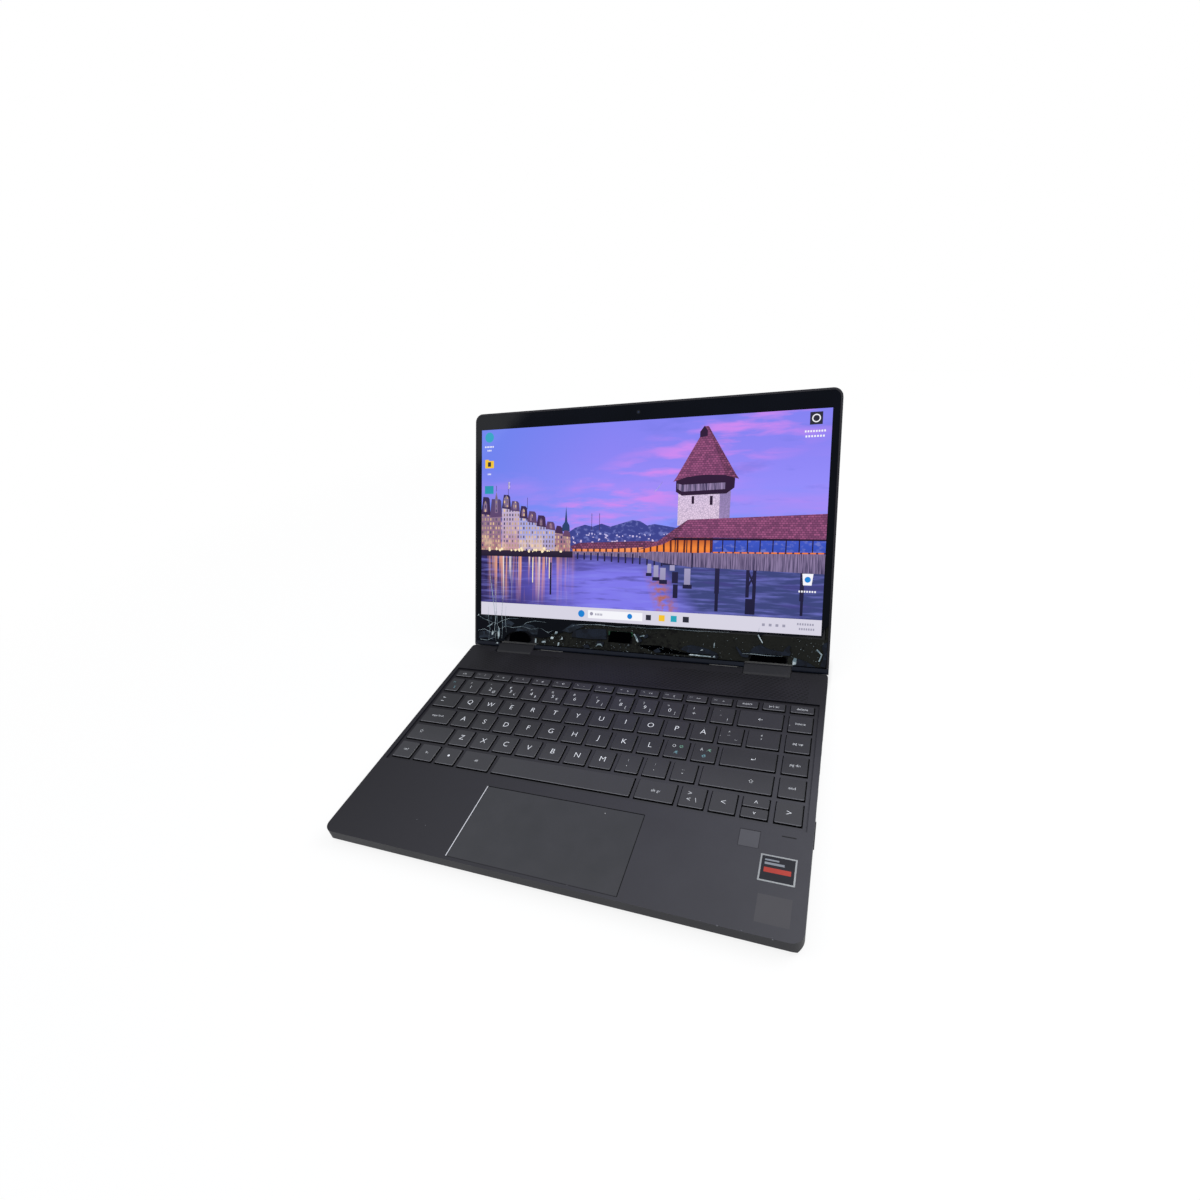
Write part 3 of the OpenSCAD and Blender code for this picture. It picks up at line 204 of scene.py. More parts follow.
BLAST_GRAIN = 0.5       # mm: drawn coarser than the real blast marks, which are too fine to show
HOLE_PITCH = (3.4, 2.2)  # mm: drawn coarser than the real holes, which are too fine to show
HOLE_SLANT = math.radians(30)
HOLE_STRIP = (176, 201)                 # mm from the front edge
STREAKS = (1, 0.04, 0.04)               # stretched up and away, so that they run that way
STRIP_END = 12                          # mm from the sides to the first holes
PALE_EDGE_WIDTH = 0.7                      # mm of the deck's front edge that can be pale
PALE_EDGE_DEPTH = 0.9


def anodised_case(name, dark, light, deck=False):
    """Bead-blasted aluminium, anodised dark: satin, faintly mottled, with specks of dust.

    It has a painted sheen, paler to the right, and painted shade on faces not turned up.
    """
    mat, tree, shader = material(name)
    where = node(tree, "TexCoord", out="Object")
    split = node(tree, "SeparateXYZ", {"Vector": where})
    # painted sheen: the metal is paler towards the right
    base = coat(tree, dark, light, (split.outputs["X"], -SIDE_X, SIDE_X))
    mottle = node(tree, "TexNoise", {"Vector": where, "Scale": 1/(22*MM), "Detail": 4}, out="Fac")
    base = coat(tree, base, dark, mottle, 0.35)
    base = coat(tree, base, "#8a8a90", dust(tree, where, 9, 0.022))
    normal = grain(tree, where, BLAST_GRAIN, 0.012)
    rough = node(tree, "MapRange", {"Value": mottle, "To Min": 0.42, "To Max": 0.54}, out=0)
    if deck:
        # painted shade: the deck is darker towards the hinges
        base = coat(tree, base, "#131217",
                    (split.outputs["Y"], FRONT_Y + 95*MM, FRONT_Y + 175*MM, 0.95))
        base, normal = speaker_holes(tree, where, split, base, normal)
    # painted shade: faces that are not turned up are darkened to blue-black
    facing = node(tree, "SeparateXYZ", {"Vector": node(tree, "NewGeometry", out="Normal")})
    base = coat(tree, base, "#12121c", (facing.outputs["Z"], 0.55, 0.2))
    if deck:
        base = pale_front_edge(tree, where, split, base)
    set_shader(tree, shader, Base_Color=base, Roughness=rough, Normal=normal,
               Specular_IOR_Level=0.28)
    return mat


def speaker_holes(tree, where, split, base, normal):
    """Slanting rows of small punched holes on the strip between the hinges and the keys."""
    turned = node(tree, "Mapping", {"Vector": where, "Rotation": (0, 0, HOLE_SLANT), "Scale": (
        1/(HOLE_PITCH[0]*MM), 1/(HOLE_PITCH[1]*MM), 0)})
    cells = node(tree, "TexVoronoi", {"Vector": turned.outputs[0], "Scale": 1.0,
                                      "Randomness": 0.0}, voronoi_dimensions="2D")
    swell = node(tree, "TexNoise", {"Vector": where, "Scale": 1/(34*MM), "Detail": 1}, out="Fac")
    size = node(tree, "MapRange", {"Value": swell, "From Min": 0.4, "From Max": 0.62,
                                   "To Min": 0.16, "To Max": 0.42}, out=0)
    hole = node(tree, "Math", {0: cells.outputs["Distance"], 1: size}, out=0,
                operation="LESS_THAN")
    side = node(tree, "Math", {0: split.outputs["X"]}, out=0, operation="ABSOLUTE")
    for value, limit, test in (
            (split.outputs["Y"], FRONT_Y + HOLE_STRIP[0]*MM, "GREATER_THAN"),
            (split.outputs["Y"], FRONT_Y + HOLE_STRIP[1]*MM, "LESS_THAN"),
            (split.outputs["Z"], DECK_Z - 0.1*MM, "GREATER_THAN"),
            (side, SIDE_X - STRIP_END*MM, "LESS_THAN")):
        within = node(tree, "Math", {0: value, 1: limit}, out=0, operation=test)
        hole = node(tree, "Math", {0: hole, 1: within}, out=0, operation="MULTIPLY")
    depth = node(tree, "Math", {0: 1.0, 1: hole}, out=0, operation="SUBTRACT")
    sunk = node(tree, "Bump", {"Height": depth, "Distance": 0.3*MM, "Strength": 0.9,
                               "Normal": normal}, out="Normal")
    return coat(tree, base, "#030304", hole, 0.85), sunk


def pale_front_edge(tree, where, split, base):
    """A pale broken line along the top of the deck's front edge, more of it at the right corner."""
    ahead = node(tree, "Math", {0: split.outputs["Y"], 1: FRONT_Y + PALE_EDGE_WIDTH*MM}, out=0,
                 operation="LESS_THAN")
    high = node(tree, "Math", {0: split.outputs["Z"], 1: DECK_Z - PALE_EDGE_DEPTH*MM}, out=0,
                operation="GREATER_THAN")
    chips = node(tree, "TexNoise", {"Vector": where, "Scale": 1/(5*MM), "Detail": 5,
                                    "Roughness": 0.7}, out="Fac")
    limit = node(tree, "MapRange", {"Value": split.outputs["X"], "From Min": -0.02,
                                    "From Max": SIDE_X, "To Min": 0.72, "To Max": 0.6}, out=0)
    bare = node(tree, "Math", {0: chips, 1: limit}, out=0, operation="GREATER_THAN")
    return coat(tree, base, "#8d8e98", bare, ahead, high)


def moulded(name, dark, light, rough, grain_mm=0.6, depth_mm=0.01, gloss=0.5, specks=0.0):
    """Moulded or coated stock: slight change of tone, a little dust, and fine grain.

    Real moulded grain is too fine to show, so it is drawn coarser, at about 0.5 mm.
    """
    mat, tree, shader = material(name)
    where = node(tree, "TexCoord", out="Object")
    tone = node(tree, "TexNoise", {"Vector": where, "Scale": 1/(14*MM), "Detail": 3}, out="Fac")
    base = coat(tree, dark, light, tone)
    if specks:
        base = coat(tree, base, "#9a9a9c", dust(tree, where, specks, 0.03))
    set_shader(tree, shader, Base_Color=base, Roughness=rough, Specular_IOR_Level=gloss,
               Normal=grain(tree, where, grain_mm, depth_mm))
    return mat


def keycap_plastic():
    """Key caps: fine moulded grain, and painted highlights on the rims facing front and left.

    The upright walls are painted near black as shade, and caps nearer the front painted paler.
    """
    mat, tree, shader = material("keycap_abs")
    where = node(tree, "TexCoord", out="Object")
    tone = node(tree, "TexNoise", {"Vector": where, "Scale": 1/(14*MM), "Detail": 3}, out="Fac")
    base = coat(tree, "#232326", "#2b2b2e", tone)
    split = node(tree, "SeparateXYZ", {"Vector": where})
    # painted light: the caps nearer the front are paler
    base = coat(tree, base, "#3d3d41",
                (split.outputs["Y"], FRONT_Y + 118*MM, FRONT_Y + 88*MM, 0.6))
    base = coat(tree, base, "#9a9a9c", dust(tree, where, 11, 0.03))
    facing = node(tree, "SeparateXYZ", {"Vector": node(tree, "NewGeometry", out="True Normal")})
    # painted highlights on the rims that face the front and the left
    for axis, code, most in (("Y", "#737379", 0.9), ("X", "#55555b", 0.7)):
        turned = node(tree, "Math", {0: facing.outputs[axis], 1: -1.0}, out=0,
                      operation="MULTIPLY")
        base = coat(tree, base, code, (turned, 0.3, 0.5, most))
    # painted shade: the upright walls are near black
    base = coat(tree, base, "#060607", (facing.outputs["Z"], 0.3, 0.1))
    set_shader(tree, shader, Base_Color=base, Roughness=0.42, Specular_IOR_Level=0.4,
               Normal=grain(tree, where, 0.5, 0.01))
    return mat


def brushed_metal(name, dark, light, rough):
    """Bare rolled or turned metal: streaks along one axis, drawn wider than the real ones."""
    mat, tree, shader = material(name)
    where = node(tree, "Mapping", {"Vector": node(tree, "TexCoord", out="Object"), "Scale": STREAKS})
    streaks = node(tree, "TexNoise", {"Vector": where.outputs[0], "Scale": 1/(0.12*MM),
                                      "Detail": 4, "Roughness": 0.7}, out="Fac")
    set_shader(tree, shader, Base_Color=coat(tree, dark, light, streaks), Metallic=1.0,
               Roughness=rough,
               Normal=node(tree, "Bump", {"Height": streaks, "Distance": 0.006*MM}, out="Normal"))
    return mat


def solder_mask():
    """Green solder mask over copper traces, with tinned pads."""
    mat, tree, shader = material("solder_mask")
    where = node(tree, "TexCoord", out="Object")
    lanes = node(tree, "TexWave", {"Vector": where, "Scale": 90.0, "Distortion": 7.0,
                                   "Detail": 1.0})
    trace = node(tree, "Math", {0: lanes.outputs["Fac"], 1: 0.8}, out=0, operation="GREATER_THAN")
    base = coat(tree, "#12402a", "#1f5f3c", trace)
    base = coat(tree, base, "#b9bcc0", dust(tree, where, 2.6, 0.2))
    set_shader(tree, shader, Base_Color=base, Roughness=0.35,
               Normal=node(tree, "Bump", {"Height": trace, "Distance": 0.03*MM}, out="Normal"))
    return mat


def printed_glass():
    """Toughened glass printed black-blue behind: near black, mirror smooth, finger marks."""
    mat, tree, shader = material("printed_cover_glass")
    where = node(tree, "TexCoord", out="Object")
    smear = node(tree, "TexNoise", {"Vector": where, "Scale": 1/(38*MM), "Detail": 5,
                                    "Roughness": 0.6}, out="Fac")
    base = coat(tree, "#05070d", "#0a0e18", smear)
    rough = node(tree, "MapRange", {"Value": smear, "From Min": 0.4, "From Max": 0.7,
                                    "To Min": 0.04, "To Max": 0.13}, out=0)
    normal = node(tree, "NewGeometry", out="Normal")
    facing = node(tree, "VectorMath", {0: normal, 1: LID_OUT}, out="Value",
                  operation="DOT_PRODUCT")
    edge = node(tree, "Math", {0: facing, 1: 0.5}, out=0, operation="LESS_THAN")
    base = coat(tree, base, "#222c38", edge)
    set_shader(tree, shader, Base_Color=base, Roughness=rough, Specular_IOR_Level=0.12, IOR=1.5)
    return mat


def broken_glass(name, dark, light, rough=0.08):
    """A loose or lifted splinter of the printed glass: facets of random tone, each tilted a little.
    """
    mat, tree, shader = material(name)
    where = node(tree, "TexCoord", out="Object")
    facets = node(tree, "TexVoronoi", {"Vector": where, "Scale": 1/(3.4*MM)})
    tone = node(tree, "SeparateColor", {"Color": facets.outputs["Color"]})
    base = coat(tree, dark, light, tone.outputs["Red"])
    tilt = node(tree, "TexVoronoi", {"Vector": where, "Scale": 1/(3.4*MM)}, feature="SMOOTH_F1")
    set_shader(tree, shader, Base_Color=base, Roughness=rough, IOR=1.5, Specular_IOR_Level=0.3,
               Normal=node(tree, "Bump", {"Height": tilt.outputs["Distance"], "Distance": 0.5*MM,
                                          "Strength": 0.6}, out="Normal"))
    return mat


def torn_film():
    """Dull adhesive film and foam laid bare: olive grey, rough, with brown residue and grit."""
    mat, tree, shader = material("torn_adhesive_film")
    where = node(tree, "TexCoord", out="Object")
    tone = node(tree, "TexNoise", {"Vector": where, "Scale": 1/(9*MM), "Detail": 4}, out="Fac")
    base = coat(tree, "#121411", "#20211c", tone)
    residue = node(tree, "TexNoise", {"Vector": where, "Scale": 1/(3.2*MM), "Detail": 6,
                                      "Roughness": 0.7}, out="Fac")
    split = node(tree, "SeparateXYZ", {"Vector": where})
    middle = node(tree, "MapRange", {"Value": split.outputs["X"], "From Min": 0.03,
                                     "From Max": 0.06, "To Min": 0.06, "To Max": -0.03}, out=0)
    edge = node(tree, "Math", {0: residue, 1: middle}, out=0, operation="ADD")
    base = coat(tree, base, "#070706", (edge, 0.56, 0.62))
    base = coat(tree, base, "#6d6a60", dust(tree, where, 3.1, 0.07))
    normal = node(tree, "Bump", {"Height": residue, "Distance": 0.25*MM, "Strength": 0.8},
                  out="Normal")
    set_shader(tree, shader, Base_Color=base, Roughness=0.72, Specular_IOR_Level=0.2,
               Normal=normal)
    return mat


def glowing(name, stops, drawn=None):
    """A field of the lit picture: colours up its height on its own UV map, and a drawn pattern."""
    mat, tree, shader = material(name)
    place = node(tree, "UVMap", out=0, uv_map="plan")
    split = node(tree, "SeparateXYZ", {"Vector": place})
    shade = node(tree, "ValToRGB", {"Fac": split.outputs["Y"]}, ramp=stops)
    base = shade.outputs["Color"]
    if drawn:
        base = drawn(tree, place, split, base)
    set_shader(tree, shader, Base_Color="#05060a", Roughness=0.06,
               Specular_IOR_Level=0.12, Emission_Color=base, Emission_Strength=1.0)
    return mat


def leaning(tree, split, lean, level):
    """Distance across the picture, leaning with height, so that a band can slant."""
    up = node(tree, "Math", {0: split.outputs["Y"], 1: level}, operation="SUBTRACT")
    up = node(tree, "Math", {0: up.outputs[0], 1: lean}, operation="MULTIPLY")
    return node(tree, "Math", {0: split.outputs["X"], 1: up.outputs[0]}, out=0)


def stretched(tree, place, across, up, turn=0.0, detail=4.0):
    """Noise drawn out to the given repeats across and up the picture."""
    long = node(tree, "Mapping", {"Vector": place, "Scale": (across, up, 1),
                                  "Rotation": (0, 0, math.radians(turn))})
    return node(tree, "TexNoise", {"Vector": long.outputs[0], "Scale": 1.0, "Detail": detail,
                                   "Roughness": 0.55}, out="Fac")


def dusk_sky(tree, place, split, base):
    """Evening sky: bluer to the left, pink bands along the skyline and rising to the right."""
    across, up = split.outputs["X"], split.outputs["Y"]
    base = coat(tree, base, "#6282ec", (across, 0.42, 0.02, 0.75))
    base = coat(tree, base, "#b08af4", (stretched(tree, place, 2.4, 12, -8), 0.46, 0.66, 0.8),
                (up, 0.56, 0.42))
    rising = leaning(tree, split, -1.9, 0.56)
    base = coat(tree, base, "#d08af0", (rising, 0.45, 0.62), (rising, 0.98, 0.78),
                (stretched(tree, place, 5, 26, -20, 6), 0.47, 0.62, 0.9))
    return coat(tree, base, "#7478e2", (stretched(tree, place, 6, 22, -14), 0.56, 0.68, 0.5),
                (across, 0.4, 0.6))


def slopes(tree, place, split, base):
    """Wooded hills with paler clearings."""
    return coat(tree, base, "#7f86cc", (stretched(tree, place, 60, 90), 0.52, 0.66, 0.6))


def tiles(tree, place, split, base):
    """Rows of roof tiles."""
    rows = node(tree, "TexBrick", {"Vector": place, "Scale": 1.0, "Mortar Size": 0.0006,
                                   "Brick Width": 0.008, "Row Height": 0.0055,
                                   "Color1": "#a85c86", "Color2": "#6a3c5c",
                                   "Mortar": "#3c2338"})
    return coat(tree, base, rows.outputs["Color"], 0.7)


def windows(tree, place, split, base):
    """House fronts: rows of windows, some of them lit."""
    rows = node(tree, "TexBrick", {"Vector": place, "Scale": 1.0, "Mortar Size": 0.0027,
                                   "Brick Width": 0.0094, "Row Height": 0.0128,
                                   "Color1": "#3f3a66", "Color2": "#ffd79c",
                                   "Mortar": "#ffffff", "Bias": -0.2}, offset=0.0)
    base = coat(tree, rows.outputs["Color"], base, rows.outputs["Fac"])
    return coat(tree, base, "#ffdcae", (stretched(tree, place, 26, 18), 0.5, 0.64, 0.6),
                (split.outputs["Y"], 0.37, 0.29))


def stonework(tree, place, split, base):
    """Pale rubble stone with dark joints."""
    stones = node(tree, "TexVoronoi", {"Vector": place, "Scale": 170.0},
                  feature="DISTANCE_TO_EDGE")
    joint = node(tree, "Math", {0: stones.outputs["Distance"], 1: 0.09}, out=0,
                 operation="LESS_THAN")
    return coat(tree, base, "#6b6484", joint, 0.4)


def planks(tree, place, split, base):
    """Upright weathered boards."""
    long = node(tree, "Mapping", {"Vector": place, "Scale": (420, 14, 1)}, out=0)
    rings = node(tree, "TexNoise", {"Vector": long, "Scale": 1.0, "Detail": 4.0}, out="Fac")
    return coat(tree, base, "#433a5c", (rings, 0.4, 0.62))


def lamplight(tree, place, split, base):
    """Posts against the lamps under a roof."""
    posts = node(tree, "TexWave", {"Vector": place, "Scale": 17.0, "Distortion": 0.6}, out="Fac")
    part = node(tree, "Math", {0: posts, 1: 0.82}, out=0, operation="GREATER_THAN")
    return coat(tree, base, "#5a2420", part)


def ripples(tree, place, split, base):
    """Water: dark at the left with upright lamp reflections, bright in the middle, then slate."""
    across, up = split.outputs["X"], split.outputs["Y"]
    base = coat(tree, base, "#2b2458", (across, 0.24, 0.03))
    base = coat(tree, base, "#7f78ea", (across, 0.22, 0.38), (up, 0.275, 0.22))
    base = coat(tree, base, "#3d457c", (leaning(tree, split, 0.85, 0.247), 0.5, 0.6))
    base = coat(tree, base, "#8c8cf0", (stretched(tree, place, 9, 95, 0, 5), 0.48, 0.7, 0.5))
    base = coat(tree, base, "#453f86", (stretched(tree, place, 7, 60, 0, 5), 0.54, 0.66, 0.6))
    warm = leaning(tree, split, 0.35, 0.16)
    base = coat(tree, base, "#b06a5c", (warm, 0.545, 0.575), (warm, 0.625, 0.59),
                (up, 0.25, 0.19), (stretched(tree, place, 50, 70), 0.4, 0.6))
    side = [(across, 0.33, 0.22), (across, 0.015, 0.06), (up, 0.13, 0.24)]
    base = coat(tree, base, "#f0a888", (stretched(tree, place, 85, 2.6, 0, 3), 0.46, 0.64), *side)
    return coat(tree, base, "#fff0e8", (stretched(tree, place, 60, 2.2, 2, 3), 0.58, 0.66), *side)


# bead-blasted aluminium, dyed near black: a dull satin, with a painted sheen paler to the right
CASE = anodised_case("anodised_deck", "#1e1d22", "#404046", deck=True)
COVER = anodised_case("anodised_shell", "#232228", "#2b2a30")
# the same aluminium in darker tones: painted shade on the hinge blocks
HINGE = anodised_case("anodised_hinge", "#121217", "#18181e")
# moulded rubber: flat black, almost without gloss
RUBBER = moulded("foot_rubber", "#141415", "#1c1c1e", 0.85)
# moulded ABS with a fine grain: dark grey, with painted highlights on its lower and left rims
KEYCAP = keycap_plastic()
# black dome sheet: the gaps between the caps read as almost nothing
# it is also laid as painted shade along the touchpad's right and rear edges
KEY_WELL = moulded("key_well", "#050506", "#09090b", 0.6, gloss=0.2)
# moulded silicone: soft grey, without shine
DOMES = moulded("dome_silicone", "#2c2c2e", "#38383b", 0.65, gloss=0.3)
# acid-etched glass: smoother and a shade paler than the deck, with dust lying on it
TOUCHPAD = moulded("etched_touchpad_glass", "#323336", "#3b3b3f", 0.4, 0.4, 0.004, 0.3, 16)
# coated sensor window: a plain grey square with a slight sheen
SENSOR = moulded("sensor_glass", "#47474c", "#505056", 0.3, gloss=0.4)
# painted moulding: blue-black and half glossy
TRIM = moulded("painted_trim", "#11151f", "#191f2d", 0.3, 0.8, 0.01, 0.3)
# moulded black ABS of the parts inside: even, half matt
BLACK = moulded("black_plastic", "#151517", "#1d1d20", 0.5)
# shrink film round the cells: black with a soft shine
FILM = moulded("battery_film", "#101012", "#17171a", 0.35)
# rolled sheet: pale grey streaks with clear highlights
STEEL = brushed_metal("rolled_steel", "#8b8d90", "#a4a6a8", 0.32)
# oiled and blackened steel: dark, with dull highlights
DARK_STEEL = brushed_metal("blackened_steel", "#1c1d1f", "#28292b", 0.45)
# drawn copper: warm brown streaks along the pipe
COPPER = brushed_metal("copper_pipe", "#9a5a38", "#b87350", 0.3)
# pressed aluminium foil: bright and lightly streaked
FINS = brushed_metal("pressed_aluminium", "#a9acae", "#c2c4c6", 0.35)
# bare milled aluminium: a thin bright line, laid as a painted highlight on the touchpad's left
BARE_EDGE = moulded("cut_aluminium_edge", "#b9bac0", "#cfd0d5", 0.35, gloss=0.6)
# green lacquer over copper: half glossy, with bright pads
BOARD = solder_mask()
# toughened glass printed behind: a near black mirror
GLASS = printed_glass()
# a lifted splinter: blue-black, each facet a little different
SPLINTER = broken_glass("lifted_glass", "#080d18", "#182130")
# torn adhesive film: dull, dark and gritty
TAPE = torn_film()

NODE_FINISHES = [
    (CASE, "top_case"),
    (COVER, "bottom_cover power_button volume_rocker lid_cover"),
    (HINGE, "hinge_link_left hinge_link_right hinge_caps"),
    (RUBBER, "front_foot rear_foot"),
    (KEY_WELL, "keyboard_plate key_domes"),
    (TOUCHPAD, "touchpad_glass"),
    (SENSOR, "fingerprint_sensor"),
    (TRIM, "lid_bottom_trim"),
    (BLACK, "fan_housing fan_rotor speaker_left speaker_right dc_inlet audio_jack display_panel"),
    (FILM, "battery_pack"),
    (STEEL, "touchpad_bracket usb_a_port_left usb_a_port_right usb_c_port card_reader"),
    (DARK_STEEL, "case_screws lower_hinge_brackets lower_gear_shafts lower_hinge_screws "
                 "lower_idler_gears upper_idler_gears upper_gear_shafts upper_hinge_brackets "
                 "upper_hinge_screws"),
    (COPPER, "heat_pipe"),
    (FINS, "palm_rest_label heat_fins"),
    (BOARD, "touchpad_board mainboard left_io_board ssd_module wireless_card display_board "
            "camera_board"),
    (GLASS, "cover_glass"),
    (SPLINTER, "glass_shards"),
    (TAPE, "panel_tape"),
]


def finish_cad_nodes():
    """Gives every node that is kept its material, through its object's slots."""
    for mat, names in NODE_FINISHES:
        for name in names.split():
            for slot in frame["nodes"][name].material_slots:
                slot.material = mat


finish_cad_nodes()


# ---- making pieces ----

def deselect():
    if bpy.context.object and bpy.context.object.mode != "OBJECT":
        bpy.ops.object.mode_set(mode="OBJECT")
    bpy.ops.object.select_all(action="DESELECT")


def join(pieces, name):
    """Joins the pieces into one object at the origin."""
    deselect()
    for piece in pieces:
        piece.select_set(True)
    bpy.context.view_layer.objects.active = pieces[0]
    if len(pieces) > 1:
        bpy.ops.object.join()
    bpy.ops.object.transform_apply(location=True, rotation=True, scale=True)
    whole = bpy.context.object
    whole.name = name
    whole.data.name = name
    return whole


TOUCH = 1e-6                            # m: closer than this is the same place
PLAN = 300                              # mm over which a drawing's own map runs from 0 to 1


def new_piece(name, shape, mat):
    """Turns a finished bmesh into an object with one material."""
    mesh = bpy.data.meshes.new(name)
    shape.to_mesh(mesh)
    shape.free()
    mesh.materials.append(mat)
    piece = bpy.data.objects.new(name, mesh)
    bpy.context.collection.objects.link(piece)
    return piece


def outline_mesh(name, loops, mat, place):
    """Flat pieces drawn point by point; place turns two plan values into a point."""
    shape = bmesh.new()
    plan = shape.loops.layers.uv.new("plan")
    for points in loops:
        face = shape.faces.new([shape.verts.new(place(*p)) for p in points])
        for corner, (x, y) in zip(face.loops, [p[:2] for p in points]):
            corner[plan].uv = ((x + PLAN/2)/PLAN, y/PLAN)
    bmesh.ops.triangulate(shape, faces=shape.faces[:])
    return new_piece(name, shape, mat)


def rectangle(x0, x1, y0, y1):
    return [(x0, y0), (x1, y0), (x1, y1), (x0, y1)]


def disc(x, y, r, count=28):
    return [(x + r*math.cos(a), y + r*math.sin(a))
            for a in (i*2*math.pi/count for i in range(count))]


def islands(name):
    """The boxes of a CAD node's separate solids, left to right, as (lowest, highest) corners."""
    shape = bmesh.new()
    shape.from_mesh(frame["nodes"][name].data)
    bmesh.ops.remove_doubles(shape, verts=shape.verts[:], dist=TOUCH)
    left, boxes = set(shape.verts), []
    while left:
        stack, part = [left.pop()], []
        while stack:
            vert = stack.pop()
            part.append(vert.co.copy())
            for edge in vert.link_edges:
                other = edge.other_vert(vert)
                if other in left:
                    left.discard(other)
                    stack.append(other)
        boxes.append((Vector([min(p[i] for p in part) for i in range(3)]),
                      Vector([max(p[i] for p in part) for i in range(3)])))
    shape.free()
    return sorted(boxes, key=lambda b: (b[0].x, b[0].y))


# ---- key caps and their legends ----

CAP_BEVEL = 0.32*MM
CAP_CORNER = 0.9*MM
CAP_SHADE = 0.28*MM                     # the caps stand this far inside their CAD solids
CAP_WALL = 0.72*MM
CAP_ROOF = 0.9*MM
DOME_FOOT = 2.2*MM                      # radius
DOME_TIP = 1.2*MM
DOME_RIM = 0.5*MM                       # round the dip in a dome's tip
DOME_DIP = 0.35*MM
SHEET_CORNER = 0.8*MM
DOME_BELOW_CAP = 1.45*MM                # from a cap's lower edge to the dome sheet
KEY_ROWS = ["function_keys", "number_keys", "upper_letter_keys", "home_letter_keys",
            "enter_key", "lower_letter_keys", "modifier_keys", "space_bar", "arrow_keys",
            "navigation_keys"]


def select_parts(piece, kind, wanted):
    """Goes into edit mode with only the edges or faces that the test picks selected."""
    deselect()
    piece.select_set(True)
    bpy.context.view_layer.objects.active = piece
    bpy.ops.object.mode_set(mode="EDIT")
    bpy.ops.mesh.select_mode(type=kind)
    bpy.ops.mesh.select_all(action="DESELECT")
    shape = bmesh.from_edit_mesh(piece.data)
    for part in (shape.edges if kind == "EDGE" else shape.faces):
        part.select = wanted(part)
    shape.select_flush_mode()
    bmesh.update_edit_mesh(piece.data)


def key_row(node_name):
    """A row's caps: blocks with rounded corners and bevelled rims, hollowed from below."""
    boxes = islands(node_name)
    foot = min(low.z for low, _ in boxes)
    top = max(high.z for _, high in boxes)
    deselect()
    caps = []
    for low, high in boxes:
        bpy.ops.mesh.primitive_cube_add(size=1, location=(low + high)/2)
        cap = bpy.context.object
        cap.scale = high - low - Vector((2*CAP_SHADE, 2*CAP_SHADE, 0))
        caps.append(cap)
    row = join(caps, node_name + "_caps")
    select_parts(row, "EDGE", lambda e: abs(e.verts[0].co.z - e.verts[1].co.z) > 1*MM)
    bpy.ops.mesh.bevel(offset=CAP_CORNER, segments=4, profile=0.5, affect="EDGES")
    select_parts(row, "EDGE", lambda e: min(v.co.z for v in e.verts) > top - TOUCH)
    bpy.ops.mesh.bevel(offset=CAP_BEVEL, segments=1, affect="EDGES")
    select_parts(row, "FACE", lambda f: max(v.co.z for v in f.verts) < foot + TOUCH)
    bpy.ops.mesh.inset(thickness=CAP_WALL, use_individual=True)
    bpy.ops.mesh.extrude_region_move(
        TRANSFORM_OT_translate={"value": (0, 0, top - foot - CAP_ROOF)})
    bpy.ops.object.mode_set(mode="OBJECT")
    row.data.materials.clear()
    row.data.materials.append(KEYCAP)
    bpy.ops.object.shade_smooth_by_angle(angle=math.radians(24))
    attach(row, node_name + "_body")
    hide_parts(node_name)


def key_domes(node_name):
    """The rubber domes under a row's caps, fixed to the base."""
    boxes = islands(node_name)
    foot = boxes[0][0].z - DOME_BELOW_CAP
    height = boxes[0][1].z - CAP_ROOF - foot
    deselect()
    domes = []
    for low, high in boxes:
        middle = (low + high)/2
        bpy.ops.mesh.primitive_cone_add(vertices=16, radius1=DOME_FOOT, radius2=DOME_TIP,
                                        depth=height,
                                        location=(middle.x, middle.y, foot + height/2))
        domes.append(bpy.context.object)
    row = join(domes, node_name + "_domes")
    select_parts(row, "FACE", lambda f: min(v.co.z for v in f.verts) > foot + height - TOUCH)
    bpy.ops.mesh.inset(thickness=DOME_RIM, use_individual=True)
    bpy.ops.transform.translate(value=(0, 0, -DOME_DIP))
    bpy.ops.object.mode_set(mode="OBJECT")
    row.data.materials.clear()
    row.data.materials.append(DOMES)
    bpy.ops.object.shade_smooth_by_angle(angle=math.radians(40))
    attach(row, "base")
    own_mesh(row)


def dome_sheet():
    """The black sheet that carries the domes and closes the tray below the caps."""
    low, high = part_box("key_domes")
    foot = islands("space_bar")[0][0].z - DOME_BELOW_CAP
    deselect()
    bpy.ops.mesh.primitive_cube_add(size=1, location=((low.x + high.x)/2, (low.y + high.y)/2,
                                                      (low.z + foot)/2))
    sheet = bpy.context.object
    sheet.scale = (high.x - low.x, high.y - low.y, foot - low.z)
    sheet = join([sheet], "dome_sheet")
    select_parts(sheet, "EDGE", lambda e: abs(e.verts[0].co.z - e.verts[1].co.z) > 0.1*MM)
    bpy.ops.mesh.bevel(offset=SHEET_CORNER, segments=4, affect="EDGES")
    bpy.ops.object.mode_set(mode="OBJECT")
    sheet.data.materials.append(KEY_WELL)
    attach(sheet, "base")
    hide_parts("key_domes")


def ink(name, code, strength):
    """Translucent legend lit from below: pale, with a faint glow."""
    mat, tree, shader = material(name)
    place = node(tree, "TexCoord", out="Object")
    wear = node(tree, "TexNoise", {"Vector": place, "Scale": 1/(2.5*MM), "Detail": 2}, out="Fac")
    base = coat(tree, code, "#9fa2a6", wear)
    set_shader(tree, shader, Base_Color=base, Roughness=0.5, Emission_Color=code,
               Emission_Strength=strength)
    return mat


